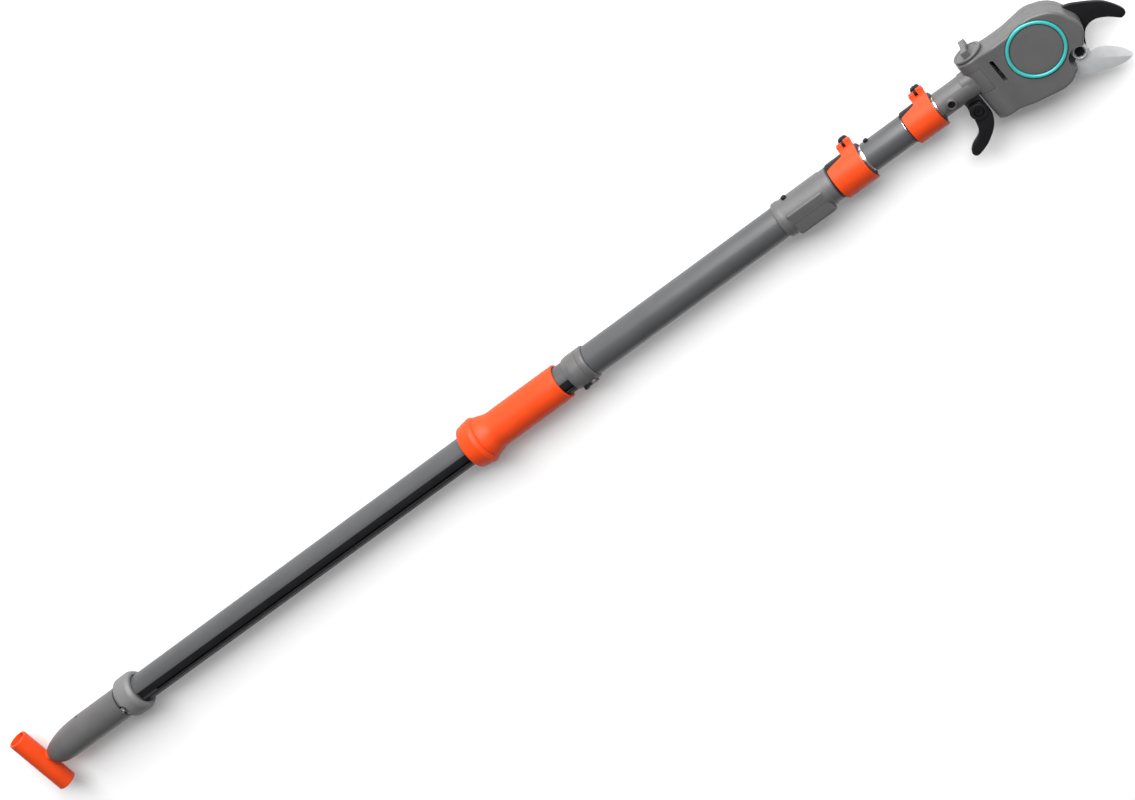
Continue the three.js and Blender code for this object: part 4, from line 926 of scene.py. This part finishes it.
def makeJaws():
    px, py = pivotAt[:2]
    pivot = (px, py, 0)
    jawLow, jawHigh = extent("fixed_jaw")
    jaw = slab("hook_jaw", jawOutline(), jawLow[2], jawHigh[2], 1.0, "z", 5)
    hole = rod("hole", -30, 30, 4.75, pivot, "z")
    finished(cut(jaw, hole), "fixed_jaw")

    blade = {"bevelStart": (764.3, -59.3), "bevelEnd": (790.3, -79.4), "drop": 2.3, "width": 9}
    low, high = extent("moving_blade")
    body = slab("bypass_blade", bladeOutline(), low[2], high[2], 0.25, "z", 3)
    start, end = np.array(blade["bevelStart"]), np.array(blade["bevelEnd"])
    along = (end - start) / np.linalg.norm(end - start)
    away = np.array([-along[1], along[0]])
    # the ground bevel is cut by a wedge whose underside falls from the bevel line to the edge
    ends = [start - along * 6, end + along * 30]
    corners = []
    for side in (0, 30):
        z = high[2] - blade["drop"] * side / blade["width"]
        for spot in ends:
            flat = spot + away * side
            corners += [(flat[0], flat[1], z), (flat[0], flat[1], high[2] + 12)]
    faces = np.array([[0, 2, 6, 4], [1, 5, 7, 3], [0, 1, 3, 2], [4, 6, 7, 5], [0, 4, 5, 1], [2, 3, 7, 6]])
    wedge = meshFrom("wedge", np.array(corners), [faces])
    hub = rod("hub", low[2], high[2], 9, pivot, "z", 0.25, 96)
    cut(body, wedge)
    teeth = toothedRoot(low[2], high[2])
    hole = rod("hole", -30, 30, 4.75, pivot, "z")
    finished(cut(join(body, hub, teeth), hole), "moving_blade", sharp=18)

    bushLow, bushHigh = extent("blade_bush")
    outer = (bushHigh[0] - bushLow[0]) / 2
    profile = filleted([(bushLow[2], 6.2), (bushLow[2], outer), (bushHigh[2], outer, 1.3),
                        (bushHigh[2], 6.2, 0.5)])
    finished(turned("pivot_ring", profile, pivot, "z", 128), "blade_bush", sharp=40)
    boltLow, boltHigh = extent("pivot_bolt")
    shank = rod("pivot_screw", boltLow[2], boltHigh[2] - 1, 4.5, pivot, "z", 0.4)
    head = slab("head", hexagon(px, py, 9.6), boltHigh[2] - 1.8, boltHigh[2], 0.4)
    finished(join(shank, head), "pivot_bolt")
    nutLow, nutHigh = extent("pivot_nut")
    nut = slab("pivot_hexnut", hexagon(px, py, 10.8), nutLow[2], nutHigh[2], 0.5)
    finished(cut(nut, rod("hole", -30, 0, 4.8, pivot, "z")), "pivot_nut")


def toothedRoot(low, high):
    # eight teeth of a 32-tooth wheel, on the side of the pivot that faces the reduction gear
    root = {"module": 1.2, "teeth": 32, "shown": 8, "inside": 5}
    gear = middleOf("gear_axle")
    centre = pivotAt[:2]
    pitch = root["teeth"] * root["module"] / 2
    step = 2 * np.pi / root["teeth"]
    towards = np.arctan2(gear[1] - centre[1], gear[0] - centre[0])
    first = towards - (root["shown"] - 2) * step
    middles = first + np.arange(root["shown"]) * step
    radii = np.array([pitch - 1.05 * root["module"], pitch + 0.75 * root["module"]])[[0, 1, 1, 0]]
    angles = middles[:, None] + np.array([-0.25, -0.1, 0.1, 0.25]) * step
    tips = np.stack([centre[0] + radii * np.cos(angles), centre[1] + radii * np.sin(angles)], -1).reshape(-1, 2)
    ends = [first + (root["shown"] - 0.5) * step, first - 0.5 * step]
    base = [(centre[0] + root["inside"] * np.cos(a), centre[1] + root["inside"] * np.sin(a)) for a in ends]
    return slab("teeth", np.vstack([tips, base]), low, high, 0)


makeTHandle()
makeEndCap()
makeEndCollar()
print("foot done")
makeLowerTube()
makeGrip()
makeJoint()
print("grip and joint done")
makeTube("upper_tube", "main_tube", 1.7)
makeFerrule()
makeButton("ferrule_stub", "ferrule_button")
makeTube("middle_pole", "middle_tube", 1.4)
makeTube("middle_sleeve", "middle_ferrule", 1.4, 0.8)
makeButton("sleeve_stub", "middle_button")
makeTube("inner_pole", "inner_tube", 1.3)
makeClamp(1, ring=21.5, shell=24.2, bore=16.4, over=19.4, stop=473)
makeClamp(2, ring=19.4, shell=22, bore=13.6, over=16.4, stop=570)
print("tubes and clamps done")
makeNeck()
makeHook()
makeShells()
makeHeadTrim()
makeKnob()
makeJaws()
print("head done")

for node, piece in nodes.items():  # what is left of the frame shows with its own finish
    piece.data.materials.clear()
    piece.data.materials.append(materials[slotOf[node]])


def makeStudio():
    studio = {"floor": 14, "sky": 0.27, "key": 530, "keySize": 4.2, "keyAt": (1.2, 3.3, 2.1)}
    low = cadBounds[0]
    size = studio["floor"] / 2
    mesh = bpy.data.meshes.new("studio_floor")
    mesh.from_pydata([(-size, -size, low.z), (size, -size, low.z), (size, size, low.z), (-size, size, low.z)],
                     [], [(0, 1, 2, 3)])
    floor = bpy.data.objects.new("studio_floor", mesh)
    bpy.context.scene.collection.objects.link(floor)
    mesh.materials.append(newMaterial("pale_floor", {"colour": (0.93, 0.93, 0.93), "rough": 0.8})[0])

    world = bpy.data.worlds.new("studio")
    bpy.context.scene.world = world
    world.use_nodes = True
    world.node_tree.nodes["Background"].inputs["Color"].default_value = (1, 1, 1, 1)
    world.node_tree.nodes["Background"].inputs["Strength"].default_value = studio["sky"]

    right, up, back = (Vector(v) for v in ((0.7571, -0.6528, -0.0258), (0.5493, 0.6574, -0.5158),
                                           (0.3537, 0.3764, 0.8563)))
    camera = bpy.data.cameras.new("camera")
    camera.lens = 81.96
    camera.sensor_width = 36
    camera.clip_end = 50
    holder = bpy.data.objects.new("camera", camera)
    turn = Matrix((right, up, back)).transposed().to_4x4()
    holder.matrix_world = Matrix.Translation((1.1096, 1.119, 2.5841)) @ turn
    bpy.context.scene.collection.objects.link(holder)
    bpy.context.scene.camera = holder

    light = bpy.data.lights.new("key", "AREA")
    light.energy = studio["key"]
    light.size = studio["keySize"]
    lamp = bpy.data.objects.new("key", light)
    place = Vector(studio["keyAt"])
    lamp.matrix_world = Matrix.Translation(place) @ place.to_track_quat("Z", "Y").to_matrix().to_4x4()
    bpy.context.scene.collection.objects.link(lamp)
    bpy.context.scene.view_settings.view_transform = "Standard"


makeStudio()
print("studio done")
